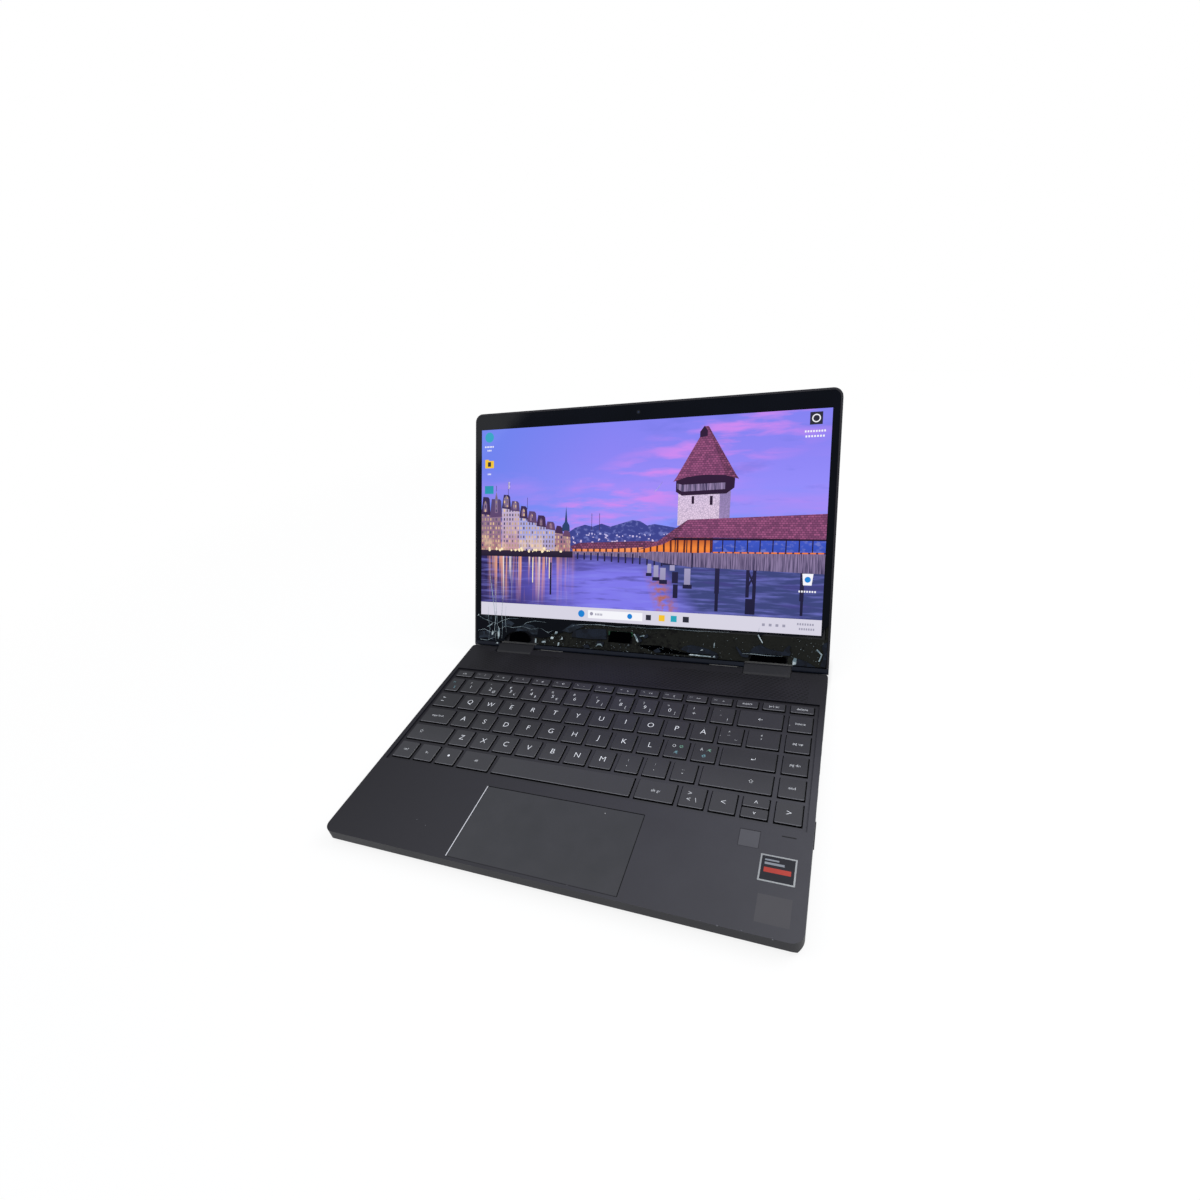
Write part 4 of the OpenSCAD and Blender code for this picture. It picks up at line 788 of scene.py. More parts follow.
LEGEND = ink("legend_white", "#dfe2e8", 0.35)
LEGEND_DIM = ink("legend_grey", "#a9acb2", 0.2)
LEGEND_BLUE = ink("legend_blue", "#58b6c8", 0.2)
LEGEND_GREEN = ink("legend_green", "#57b98f", 0.2)
INKS = {"w": LEGEND, "d": LEGEND_DIM, "b": LEGEND_BLUE, "g": LEGEND_GREEN}

TEXT_SIZE = 1.25                        # text size for a mark's size
THINNED = 0.02                          # share of a mark's size taken off its strokes
INK_LIFT = 0.02*MM
# each key's marks, left to right: (text, across, up, size in mm, ink), from the cap's middle
LETTER = 5.2
DIGIT = 4.0
SMALL = 2.6
WORD = 2.4


def letters(text):
    return [[(c, 0, 0.2, LETTER, "w")] for c in text]


def word(text):
    return [(text, 0, 0, WORD, "w")]


FUNCTION_MARKS = [word("esc")] + [
    [("f%d" % (i + 1), -4.4, 0.6, 1.5, "d"), (mark, 1.2, 0, 2.2, "w")]
    for i, mark in enumerate(("?", "o", "*", "#", "O", "-", "+", "x", "<<", "||", ">>", "="))
] + [word("insert"), word("prt sc"), word("delete")]
DIGITS = "1234567890"
ABOVE = "!\"#¤%&/()="
BESIDE = " @£$€ {[]}"
NUMBER_MARKS = [[("½", -1.5, 3, SMALL, "b"), ("§", 1.5, -3, SMALL, "b")]] + [
    [(DIGITS[i], -0.6, -1.2, DIGIT, "w"), (ABOVE[i], -2.6, 3.6, SMALL, "w"),
     (BESIDE[i], 3.8, -3.6, SMALL, "w")] for i in range(10)
] + [[("+", -1.6, -1.6, DIGIT, "w"), ("?", -2.6, 3.6, SMALL, "w")],
     [("´", -1.6, -1.6, DIGIT, "w"), ("`", -2.6, 3.6, SMALL, "w"), ("|", 3.8, -3.6, SMALL, "w")],
     [("←", 0, 0, 3.6, "w")]]
UPPER_MARKS = [[("⇤", -4.4, 2, SMALL, "w"), ("⇥", -4.4, -2, SMALL, "w")]] + letters(
    "QWERTYUIOPÅ") + [[("¨", -1.6, -1.2, DIGIT, "w"), ("^", -1.6, 3, SMALL, "w"),
                       ("~", 3.8, -3.6, SMALL, "w")],
                      [("'", -1.6, -1.2, DIGIT, "w"), ("*", -1.6, 3, SMALL, "w")]]
HOME_MARKS = [word("caps lock")] + letters("ASDFGHJKL") + [
    [("Ö", -2.4, 2.6, SMALL, "w"), ("Ø", 2.6, 2.6, SMALL, "g"), ("Æ", 0, -3, SMALL, "b")],
    [("Ä", -2.4, 2.6, SMALL, "w"), ("Æ", 2.6, 2.6, SMALL, "g"), ("Ø", 0, -3, SMALL, "b")]]
LOWER_MARKS = [[("⇧", -8.6, 0.5, 3, "w")]] + letters("ZXCVBNM") + [
    [(",", -1, -1, DIGIT, "w"), (";", -1, 3, SMALL, "w")],
    [(".", -1, -1, DIGIT, "w"), (":", -1, 3, SMALL, "w")],
    [("-", -1, -1, DIGIT, "w"), ("_", -1, 3, SMALL, "w")], [("⇧", 9, 0.5, 3, "w")]]
BOTTOM_MARKS = [word("ctrl"), word("fn"), [("•", 0, 0, 7, "w")], word("alt"),
                word("alt gr"), [("<", -2.2, -2.2, DIGIT, "w"), (">", -2.2, 2.6, DIGIT, "w"),
                                 ("\\", 2.4, -2.2, DIGIT, "w")]]
ARROW_MARKS = [[("<", 0, 0, 5, "w")], [("^", 0, -0.8, 4.4, "w")], [("v", 0, 0.2, 3.4, "w")],
               [(">", 0, 0, 5, "w")]]
SIDE_MARKS = [word("home"), word("pg up"), word("pg dn"), word("end")]
MARKS = {"function_keys": FUNCTION_MARKS, "number_keys": NUMBER_MARKS,
         "upper_letter_keys": UPPER_MARKS, "home_letter_keys": HOME_MARKS,
         "enter_key": [[("↵", 3, 0, 3, "w")]], "lower_letter_keys": LOWER_MARKS,
         "modifier_keys": BOTTOM_MARKS, "arrow_keys": ARROW_MARKS,
         "navigation_keys": SIDE_MARKS}


def reading_order(node_name):
    """A row's key boxes left to right, or top to bottom in a column."""
    boxes = islands(node_name)
    if node_name == "navigation_keys":
        return sorted(boxes, key=lambda b: -b[0].y)
    return sorted(boxes, key=lambda b: (round(b[0].x/MM), -b[0].y))


def legends(node_name):
    """Flat marks on a row's caps, made from text and joined."""
    pieces = []
    for (low, high), marks in zip(reading_order(node_name), MARKS[node_name]):
        middle = (low + high)/2
        for text, across, up, size, which in marks:
            if not text.strip():
                continue
            bpy.ops.object.text_add(location=(middle.x + across*MM, middle.y + up*MM,
                                              high.z + INK_LIFT))
            mark = bpy.context.object
            mark.data.body = text
            mark.data.size = size*TEXT_SIZE*MM
            mark.data.align_x = "CENTER"
            mark.data.align_y = "CENTER"
            mark.data.offset = -THINNED*size*MM
            mark.data.resolution_u = 3
            mark.data.materials.append(INKS[which])
            deselect()
            mark.select_set(True)
            bpy.context.view_layer.objects.active = mark
            bpy.ops.object.convert(target="MESH")
            bpy.ops.object.transform_apply(location=True, rotation=True, scale=True)
            pieces.append(bpy.context.object)
    print_piece = join(pieces, node_name + "_legends")
    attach(print_piece, node_name + "_body")


dome_sheet()
for row_name in KEY_ROWS:
    key_domes(row_name)
    key_row(row_name)
for row_name in MARKS:
    legends(row_name)


# ---- the lit picture ----

PICTURE_X = 146.9
PICTURE_LOW = 27.0
PICTURE_TOP = 192.2
BAR_TOP = 38.6                          # the task bar's upper edge
SHORE = 82.0
LAYER = 0.012                           # mm between two layers of the picture

# the lit panel behind the glass: fields of even light, each with its own colours up its height
SKY = glowing("picture_sky", [(0.0, "#8494f6"), (0.38, "#8492fa"), (0.46, "#948cfa"),
                              (0.55, "#8c84f4"), (0.64, "#8482f2")], dusk_sky)
WATER = glowing("picture_water", [(0.12, "#4d4390"), (0.17, "#5d55ba"), (0.22, "#6a62cc"),
                                  (0.27, "#3a3474")], ripples)
HILLS = glowing("picture_hills", [(0.28, "#3f4590"), (0.37, "#3b428c")], slopes)
CREAM_WALL = glowing("picture_cream_wall", [(0.27, "#d09a94"), (0.33, "#b898b6"),
                                            (0.44, "#c8bede")], windows)
PINK_WALL = glowing("picture_pink_wall", [(0.27, "#b97c78"), (0.33, "#96708a"),
                                          (0.44, "#7c6a90")], windows)
BLUE_WALL = glowing("picture_blue_wall", [(0.27, "#b9a0b8"), (0.33, "#a9a6dc"),
                                          (0.44, "#a6aae6")], windows)
ROOFS = glowing("picture_roofs", [(0.3, "#4a2c4c"), (0.5, "#2b2a56")])
ROOF_LIGHT = glowing("picture_roof_light", [(0.3, "#6a4462"), (0.5, "#4c4a7c")])
QUAY = glowing("picture_quay", [(0.26, "#16122a"), (0.29, "#33263c")])
GLOW = glowing("picture_lamps", [(0.27, "#fff0c4"), (0.31, "#ffe8b8")])
SPIRE = glowing("picture_spire", [(0.3, "#2a3a66"), (0.45, "#2b4a74")])
FAR_HOUSES = glowing("picture_far_houses", [(0.3, "#e6c8dc"), (0.34, "#b9b6ea")])
TOWER = glowing("picture_tower", [(0.3, "#ecd2e6"), (0.46, "#dcc8e6")], stonework)
TOWER_SHADE = glowing("picture_tower_shade", [(0.3, "#a690c0"), (0.46, "#9480b4")], stonework)
TILE = glowing("picture_tiles", [(0.3, "#8e4c7c"), (0.62, "#8c4a7c")], tiles)
TILE_SHADE = glowing("picture_tile_shade", [(0.3, "#4c2a48"), (0.62, "#562f52")], tiles)
BEAMS = glowing("picture_beams", [(0.3, "#24152c"), (0.5, "#301a38")])
LAMPS = glowing("picture_lamplight", [(0.27, "#e0622c"), (0.3, "#f48a3c"), (0.33, "#a0442c")],
                lamplight)
FAR_LAMPS = glowing("picture_far_lamps", [(0.27, "#c8684c"), (0.3, "#ff9e5c")], lamplight)
BOARDS = glowing("picture_boards", [(0.24, "#85769c"), (0.3, "#9a86ae")], planks)
PILES = glowing("picture_piles", [(0.14, "#1c1a38"), (0.26, "#262244")])
PALE_PILES = glowing("picture_pile_heads", [(0.14, "#7c789c"), (0.26, "#a6a0c4")])
LAKE_VIEW = glowing("picture_lake_view", [(0.27, "#2c46a8"), (0.33, "#4058c8")], slopes)
BAR = glowing("picture_task_bar", [(0.0, "#d6d3e2"), (1.0, "#dcd9e8")])
WHITE = glowing("picture_white", [(0.0, "#f4f4fa"), (1.0, "#f6f6fb")])
BLUE = glowing("picture_blue", [(0.0, "#1a7fd0"), (1.0, "#2f90dc")])
SEA_GREEN = glowing("picture_sea_green", [(0.0, "#25a3b6"), (1.0, "#2fa0c8")])
TEAL = glowing("picture_teal", [(0.44, "#1f9fb4"), (0.48, "#2f8fb0")])
YELLOW = glowing("picture_yellow", [(0.0, "#f2c230"), (1.0, "#f5c83c")])
INK = glowing("picture_ink", [(0.0, "#2a2a38"), (1.0, "#2c2c3a")])
GREY = glowing("picture_grey", [(0.0, "#9a98ac"), (1.0, "#a4a2b4")])


def strip(x0, x1, low, high, count, share):
    """Equal bars between x0 and x1."""
    step = (x1 - x0)/count
    return [rectangle(x0 + i*step, x0 + (i + share)*step, low, high) for i in range(count)]


TOWER_ROOF = [(30.6, 142.4), (33.4, 146.4), (53.4, 180.6), (54.6, 184.4), (57.6, 184.4),
              (60.4, 179.6), (79.6, 147.4), (82.4, 143.4), (72, 146.6), (56, 147.4), (42, 146)]
TOWER_ROOF_SHADE = [(57, 184.4), (60.4, 179.6), (79.6, 147.4), (82.4, 143.4), (72, 146.6)]
BRIDGE_ROOF = [(18, 94.5), (27, 100), (35, 106), (43.5, 112.6), (80, 114), (PICTURE_X, 116.6),
               (PICTURE_X, 98), (60, 98.5), (30, 98.6)]
FAR_ROOF = [(-58, 90.5), (-50, 93.2), (-20, 94.4), (10, 95.4), (19, 95), (10, 90.5), (-20, 88.6),
            (-57, 88)]
# each house: its left and right, the eaves at both ends, the ridge, and its wall
HOUSES = [
    (-PICTURE_X, -138, 118, 117, 133, PINK_WALL), (-138, -126, 115, 115.6, 131, PINK_WALL),
    (-125.6, -117, 123, 122, 134.6, CREAM_WALL), (-117, -108, 121, 120, 129, CREAM_WALL),
    (-108, -100, 114.6, 113.6, 124.6, BLUE_WALL), (-100, -91, 111, 110, 120, BLUE_WALL),
    (-91, -82, 107.4, 106.4, 116.4, BLUE_WALL), (-82, -73, 105, 103.6, 111, BLUE_WALL),
    (-73, -65.6, 101.6, 100.6, 107.4, PINK_WALL), (-65.6, -58.4, 99, 98, 103.4, PINK_WALL),
]
HILL_LINE = [(-62, 84), (-62, 101), (-54, 106), (-45, 108.6), (-38, 107), (-30, 109.5),
             (-22, 107), (-12, 109.8), (-3, 112.4), (4, 111.6), (10, 108), (16, 109.2),
             (26, 107.6), (36, 106), (36, 84)]
# each gable: its middle, its half width, its foot and its tip
GABLE_SHOULDER = 0.68                   # the share of its height where a gable starts to close
GABLES = [(-121.4, 2.6, 124, 134.6), (-112.6, 1.8, 122, 129.4), (-143, 1.8, 120, 130),
          (-131.6, 1.4, 119, 137.6), (-104.2, 1.5, 116, 123), (-96, 1.3, 112, 118.6),
          (-86.6, 1.2, 108, 114.6), (-77, 1.2, 105.4, 110.4)]


def town():
    """Walls, roofs and gables of the houses along the quay, by material."""
    walls = {}
    for x0, x1, e0, e1, ridge, wall in HOUSES:
        walls.setdefault(wall, []).append([(x0, 84), (x1, 84), (x1, e1), (x0, e0)])
    roofs = [[(x0 - 0.4, e0 - 0.4), (x1 + 0.4, e1 - 0.4), (x1 - 0.6, ridge - 1.6), (x1 - 2, ridge),
              (x0 + 1.6, ridge + 0.4)] for x0, x1, e0, e1, ridge, _ in HOUSES]
    fronts = [[(x - r, low), (x + r, low), (x + r, low + (high - low)*GABLE_SHOULDER), (x, high),
               (x - r, low + (high - low)*GABLE_SHOULDER)] for x, r, low, high in GABLES]
    return walls, roofs, fronts


def picture():
    """The lit picture as layers of flat fields: a lake town at dusk, and a task bar."""
    walls, roofs, fronts = town()
    rng = random.Random(5)
    far_houses = []
    for _ in range(70):
        x, s = rng.uniform(-57, 30), rng.uniform(91, 101)
        w, h = rng.uniform(0.7, 1.9), rng.uniform(0.6, 1.5)
        far_houses.append(rectangle(x, x + w, s, s + h))
    lamps = [disc(rng.uniform(-144, -60), rng.uniform(85.2, 88), rng.uniform(0.4, 1.3), 10)
             for _ in range(26)]
    full = rectangle(-PICTURE_X, PICTURE_X, SHORE, PICTURE_TOP)
    lake = rectangle(-PICTURE_X, PICTURE_X, BAR_TOP, SHORE + 3)
    posts = strip(24, PICTURE_X, 86.6, 98.4, 13, 0.09)
    near_piles = [rectangle(x, x + w, low, 76) for x, w, low in
                  ((66.5, 3.6, 55), (90.5, 2.6, 53), (95.6, 2.6, 52), (130.2, 3, 52))]
    small_piles = [rectangle(-52 + i*6.2, -50.6 + i*6.2, 79.5 - i*0.35, 85) for i in range(13)]
    heads = [rectangle(x, x + w, low, low + h) for x, w, low, h in
             ((11, 3.4, 69, 8), (16.5, 4, 66, 10), (30, 4, 72, 7), (42, 5, 61, 13),
              (22, 4.6, 64, 10))]
    dark_heads = [rectangle(x, x + w, low, low + h) for x, w, low, h in
                  ((10, 5, 67, 2.6), (15.6, 6, 63.4, 3), (21.4, 6.6, 61, 3.4), (32, 5, 62, 9),
                   (41, 7.4, 58, 3.2), (24, 22, 76.4, 2))]
    layers = [
        ("sky", SKY, [full], 0),
        ("water", WATER, [lake], 1),
        ("hills", HILLS, [HILL_LINE], 2),
        ("far_houses", FAR_HOUSES, far_houses, 3),
        ("spire", SPIRE, [[(-66.5, 103), (-66, 108), (-63.8, 111), (-62.6, 124), (-61.4, 111),
                           (-59.4, 108), (-59, 103)]], 3),
        ("roofs", ROOFS, roofs[0::2], 3),
        ("more_roofs", ROOF_LIGHT, roofs[1::2], 4),
        ("cream_walls", CREAM_WALL, walls[CREAM_WALL], 5),
        ("pink_walls", PINK_WALL, walls[PINK_WALL], 5),
        ("blue_walls", BLUE_WALL, walls[BLUE_WALL], 5),
        ("gables", PINK_WALL, fronts, 6),
        ("poles", ROOFS, [rectangle(x, x + 0.4, low, high) for x, low, high in
                          ((-131.8, 138, 143), (-119.6, 134, 146), (-100.4, 122, 132),
                           (-39, 104, 118), (-32, 104, 118))], 4),
        ("flag", CREAM_WALL, [rectangle(-119.4, -117.8, 140, 146)], 4),
        ("quay", QUAY, [rectangle(-PICTURE_X, -56, 80.6, 86)], 7),
        ("quay_lamps", GLOW, lamps, 8),
        ("far_lamps", FAR_LAMPS, [[(-56, 84.6), (20, 85.4), (20, 90.8), (-56, 89)]], 5),
        ("far_roof", TILE_SHADE, [FAR_ROOF], 6),
        ("far_boards", BOARDS, [[(-56, 83.6), (22, 81), (22, 86.2), (-56, 86)]], 7),
        ("small_piles", PILES, small_piles, 8),
        ("tower", TOWER, [[(35, 108), (35, 134), (76, 134.6), (75.6, 108)]], 3),
        ("tower_side", TOWER_SHADE, [[(68, 108), (68, 135), (76.4, 134.6), (76, 108)]], 4),
        ("gallery", BEAMS, [[(33, 134.6), (38, 131.5), (73, 132.6), (79, 137), (79.4, 146),
                             (72, 149), (40, 148.6), (33, 144)]], 5),
        ("gallery_boards", BOARDS, [[(34, 137), (38, 134.6), (72, 136), (72, 141), (38, 140),
                                     (34, 141)]], 6),
        ("tower_roof", TILE, [TOWER_ROOF], 7),
        ("tower_roof_side", TILE_SHADE, [TOWER_ROOF_SHADE], 8),
        ("tower_door", BEAMS, [rectangle(46, 48, 125, 131), rectangle(60.4, 62.6, 124, 131),
                               [(51, 176), (51, 180.4), (54.4, 184.8), (57, 181), (57, 177)]], 9),
        ("openings", LAKE_VIEW, [[(64, 84), (PICTURE_X, 84.6), (PICTURE_X, 99), (64, 99.4)]], 6),
        ("lamps", LAMPS, [[(4, 86.4), (18, 94.8), (30, 98.9), (64, 99), (64, 87), (36, 86)]], 7),
        ("posts", BEAMS, posts + [[(18, 94), (30, 98.4), (PICTURE_X, 98.2), (PICTURE_X, 96.8),
                                   (32, 96.4)]], 8),
        ("bridge_roof", TILE, [BRIDGE_ROOF], 9),
        ("bridge_eaves", TILE_SHADE, [[(2, 88), (18, 94.5), (43.5, 112.6), (36, 100), (24, 93)]],
         10),
        ("rail", LAMPS, [[(64, 86.4), (PICTURE_X, 87.2), (PICTURE_X, 88.2), (64, 87.6)]], 9),
        ("pile_heads", PALE_PILES, heads, 8),
        ("dark_heads", PILES, dark_heads, 9),
        ("near_piles", PILES, near_piles + [[(91, 60), (92.4, 60), (98.4, 74), (97, 74)],
                                            [(97, 60), (98.4, 60), (92.4, 74), (91, 74)]], 9),
        ("parapet", BOARDS, [[(2, 84.5), (14, 87), (48, 86.6), (48, 75), (20, 78.6), (8, 81.6)],
                             [(48, 86.6), (PICTURE_X, 87), (PICTURE_X, 72.5), (48, 75.4)]], 11),
        ("parapet_post", PILES, [rectangle(47.4, 48.6, 74.6, 86.6)], 12),
        ("reflections", PILES, [rectangle(x, x + w, low, high) for x, w, low, high in
                                ((67, 2.6, 41, 55), (90.6, 7.4, 40, 52), (131, 2, 41, 52),
                                 (33, 4, 50, 61), (-77.4, 1.6, 48, 76))], 4),
        ("beams_on_water", GLOW, [rectangle(-94.6, -93.8, 58, 80), rectangle(-78.2, -77.6, 62, 80)
                                  ], 5),
        ("task_bar", BAR, [rectangle(-PICTURE_X, PICTURE_X, PICTURE_LOW, BAR_TOP)], 6),
        ("search", WHITE, [rectangle(-40.6, 8, 29.6, 36.4)], 7),
        ("bar_blue", BLUE, [disc(-46.8, 33, 3), disc(-3, 33, 2.2)], 8),
        ("bar_green", SEA_GREEN, [rectangle(32, 37, 30.6, 35.6)], 8),
        ("bar_yellow", YELLOW, [rectangle(22, 27, 30.6, 35.6)], 8),
        ("bar_ink", INK, [rectangle(11, 15.4, 30.8, 35.2), rectangle(42, 47, 30.8, 35.4)], 8),
        ("bar_grey", GREY, [disc(-37.4, 33.4, 1.5), disc(-37.4, 33.4, 1.1)[::-1]]
         + strip(-34, -27, 32.2, 34, 5, 0.6) + strip(104, 124, 31.8, 33.8, 4, 0.42)
         + strip(129.5, 142, 34, 35.6, 7, 0.62) + strip(131, 142.5, 30.4, 32, 7, 0.62), 9),
        ("icon_disc", SEA_GREEN, [disc(-139, 185.6, 4.4)], 3),
        ("icon_folder", YELLOW, [rectangle(-143.4, -134.4, 158.6, 165), rectangle(
            -143.4, -139.6, 165, 166.2)], 4),
        ("icon_block", TEAL, [rectangle(-143.6, -134.6, 136, 143)], 5),
        ("icon_dark", INK, [rectangle(131.6, 140.4, 181, 190), rectangle(-140.6, -137.4, 160, 164)],
         5),
        ("icon_ring", WHITE, [disc(136, 185.5, 3)], 6),
        ("icon_ring_middle", INK, [disc(136, 185.5, 2.2)], 7),
        ("icon_bin", WHITE, [[(132.4, 64), (138.4, 64), (139.4, 72.6), (131.6, 72.6)]], 12),
        ("icon_bin_mark", BLUE, [disc(135.5, 68.2, 2.2)], 13),
        ("icon_words", WHITE, strip(-143.6, -134, 176.6, 178, 6, 0.6)
         + strip(-141, -136.4, 173.4, 174.8, 3, 0.6) + strip(-140.6, -136.8, 152.6, 154, 3, 0.6)
         + strip(128.4, 143.6, 175.6, 177, 8, 0.6) + strip(129, 143, 172, 173.4, 7, 0.6)
         + strip(129.4, 142.4, 58.6, 60, 7, 0.6), 13),
    ]
    pieces = [outline_mesh(name, loops, mat,
                           lambda x, s, k=k: on_lid(x, s, 0.01 + k*LAYER))
              for name, mat, loops, k in layers]
    whole = join(pieces, "lit_picture")
    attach(whole, "lid")


picture()


# ---- the break in the cover glass ----

TAPE_FACE = -0.86                       # mm from the front of the glass to the tape under it

# the edge of a chip: pale, a painted glint
GLINT = broken_glass("bright_glass_chip", "#71868f", "#d6e4e8", 0.2)
# a crack in the glass: a thin grey-blue painted glint
CRACK = broken_glass("crack_line", "#5f7280", "#bccdd4", 0.25)
# cracked glass that lies flat: a shade paler than the print
SLATE = broken_glass("blue_grey_facet", "#0c121b", "#27313e", 0.12)
# a gap with nothing in it: a black sheet without gloss, painted shade of the hollow below
VOID = moulded("open_gap", "#010102", "#030304", 0.95, gloss=0.0)


def splinter(points, width):
    """A crack as a sliver: it follows the points and thins out to both ends."""
    left, right = [], []
    for i, (x, y) in enumerate(points):
        before = points[max(i - 1, 0)]
        after = points[min(i + 1, len(points) - 1)]
        dx, dy = after[0] - before[0], after[1] - before[1]
        size = math.hypot(dx, dy) or 1
        half = width/2*math.sin(math.pi*(i + 0.35)/(len(points) - 0.3))
        left.append((x - dy/size*half, y + dx/size*half))
        right.append((x + dy/size*half, y - dx/size*half))
    return left + right[::-1]


# long cracks at the left end: up through the task bar and into the picture
LONG_CRACKS = [
    ([(-131, 3), (-132.6, 14), (-131.6, 24), (-133.4, 36), (-135.6, 50), (-137.4, 62),
      (-138.6, 72)], 0.55),
    ([(-130.4, 8), (-129.8, 20), (-130.8, 32), (-131.8, 46), (-131.2, 58), (-132, 66)], 0.4),
    ([(-125, 6), (-124.2, 17), (-125.2, 28), (-124.4, 40), (-125.8, 50)], 0.35),
    ([(-120.4, 12), (-121.4, 24), (-120.8, 36)], 0.3),
    ([(-139, 4), (-137.4, 14), (-139.4, 26), (-138.6, 38)], 0.3),
    ([(-150, 26), (-144, 23), (-138, 21.4), (-131, 19)], 0.3),
    ([(-131, 19), (-125, 22.4), (-117, 24.8), (-108, 25.2)], 0.3),
    ([(-150, 12), (-143, 13.6), (-136, 11), (-130, 12.6)], 0.3),
    ([(-132, 7), (-140, 3.4), (-148, 4)], 0.3),
    ([(-128, 14), (-121, 17.6), (-114, 16.6), (-104, 18.4), (-95, 16.4), (-86, 18)], 0.3),
    ([(-104, 18.4), (-100, 22), (-92, 24), (-80, 23.4)], 0.25),
    ([(-86, 18), (-78, 14.4), (-73, 17)], 0.25),
    ([(100.6, 26.4), (101.8, 28), (102.2, 31)], 0.25),
    ([(22, 143), (18.6, 138), (15, 134.6)], 0.3),
]
# chips as painted glints, each an outline on the glass
CHIPS = [
    [(-129, 5), (-127.4, 8), (-127.2, 13), (-128.4, 17), (-129.4, 11)],
    [(-130.4, 0.8), (-128.8, 1.2), (-129.2, 2.4), (-130.6, 2)],
    [(-141, 16), (-138, 17.6), (-134.4, 19.6), (-135.6, 18), (-139, 16)],
    [(-136, 9), (-134.6, 13), (-133.6, 11), (-134.6, 8.6)],
    [(-150.6, 25.4), (-149, 26.4), (-149.6, 27.2)],
    [(-91.2, 4.6), (-89.8, 4.6), (-90, 8.6), (-91, 8)],
    [(-84.6, 5), (-80.6, 5.6), (-81, 7), (-84, 6.6)],
    [(-76, 9.4), (-73.4, 8.8), (-72.8, 10.8), (-75.2, 11.2)],
    [(-72, 13.6), (-69.6, 14), (-68.8, 16), (-71, 15.8)],
    [(-69, 3.6), (-67.6, 4), (-67.2, 6.6), (-68.6, 6.4)],
    [(-66, 9), (-64.6, 11.8), (-63.8, 9.6)],
    [(-33, 5.8), (-31, 8.2), (-28.4, 8.4), (-26.6, 6), (-28.6, 7), (-31, 6.8)],
    [(0.6, 18.4), (1.8, 18.8), (4.6, 14.6), (5, 11.8), (3.4, 13), (2.2, 16)],
    [(6, 17.2), (10.4, 18.4), (9.8, 17.2), (6.4, 16.6)],
    [(57.2, 9), (59.4, 9.4), (58.6, 10.2)],
    [(67.6, 12), (68.2, 12), (68.4, 16), (67.8, 16)],
    [(67, 4.4), (69.4, 4.6), (68.6, 6)],
    [(48, 4.6), (66, 4.4), (65.4, 5.2), (49, 5.6)],
    [(127.8, 3.4), (130, 4), (130.6, 8.6), (128.6, 9.2), (127.6, 6)],
    [(144.6, 17), (148.6, 13), (148.2, 12), (144.2, 16)],
    [(148.6, 13), (146.8, 7.6), (145.8, 7.6), (147.6, 12.6)],
    [(101, 24.4), (104.8, 18.4), (105.4, 18.6), (101.8, 25)],
]
# dull blue-grey facets of cracked glass that still lie flat
FACETS = [
    [(-111, 13.4), (-104, 14.6), (-99, 14.4), (-94, 12), (-89, 12), (-88, 16.6), (-94, 20),
     (-101, 21), (-108, 18)],
    [(-65, 17), (-60, 20.4), (-55, 23.6), (-48, 24), (-44, 22), (-50, 19.6), (-57, 15.6)],
    [(-149.6, 5), (-141, 6), (-134, 4), (-133, 10), (-140, 12.4), (-149, 10.6)],
    [(-124, 17.6), (-116, 17.4), (-112, 20.6), (-118, 23.4), (-123.6, 21)],
    [(-148, 28), (-141, 23.4), (-135, 22.6), (-136, 26), (-147, 26.6)],
]
# places where the glass is gone: a black sheet stands as painted shade for the dark below
GAPS = [
    [(-21.6, 10.3), (-2.6, 10.3), (-0.8, 18.4), (-2.4, 19.6), (-20.4, 19.6)],
    [(95.4, 3.7), (123.6, 3.7), (122.4, 8.8), (114, 10.4), (103, 9.6), (97, 8.2)],
    [(-118, 3.8), (-97, 3.8), (-96.4, 8), (-101, 12.6), (-110, 13.4), (-117, 10.4)],
    [(3, 9.6), (22, 10.4), (44, 6.4), (60, 4.6), (44, 4.4), (20, 4.6)],
]
# thin cracks along the lower edge of the lit part
HAIRLINES = [
    ([(90, 9.3), (98, 9.6), (108, 9.2), (120, 9.5)], 0.35),
    ([(-56, 21.8), (-48, 23.5), (-30, 24.4), (-12, 23.6), (0, 24.7)], 0.3),
    ([(0, 24.7), (14, 24), (30, 25.1), (52, 24.5), (80, 25.2)], 0.25),
]


def broken_band():
    """Cracks, chips and facets over the lower edge of the glass.

    The cracks and chips are painted glints; the gaps are painted shade.
    """
    def place(lift):
        return lambda x, s: on_lid(x, s, lift)

    crack_loops = [splinter(points, width) for points, width in LONG_CRACKS + HAIRLINES]
    pieces = [
        outline_mesh("facets", FACETS, SLATE, place(0.02)),
        outline_mesh("cracks", crack_loops, CRACK, place(0.2)),
        outline_mesh("chips", CHIPS, GLINT, place(0.06)),
        outline_mesh("gaps", GAPS, VOID, place(-0.82)),
    ]
    band = join(pieces, "cracks_and_chips")
    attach(band, "lid")


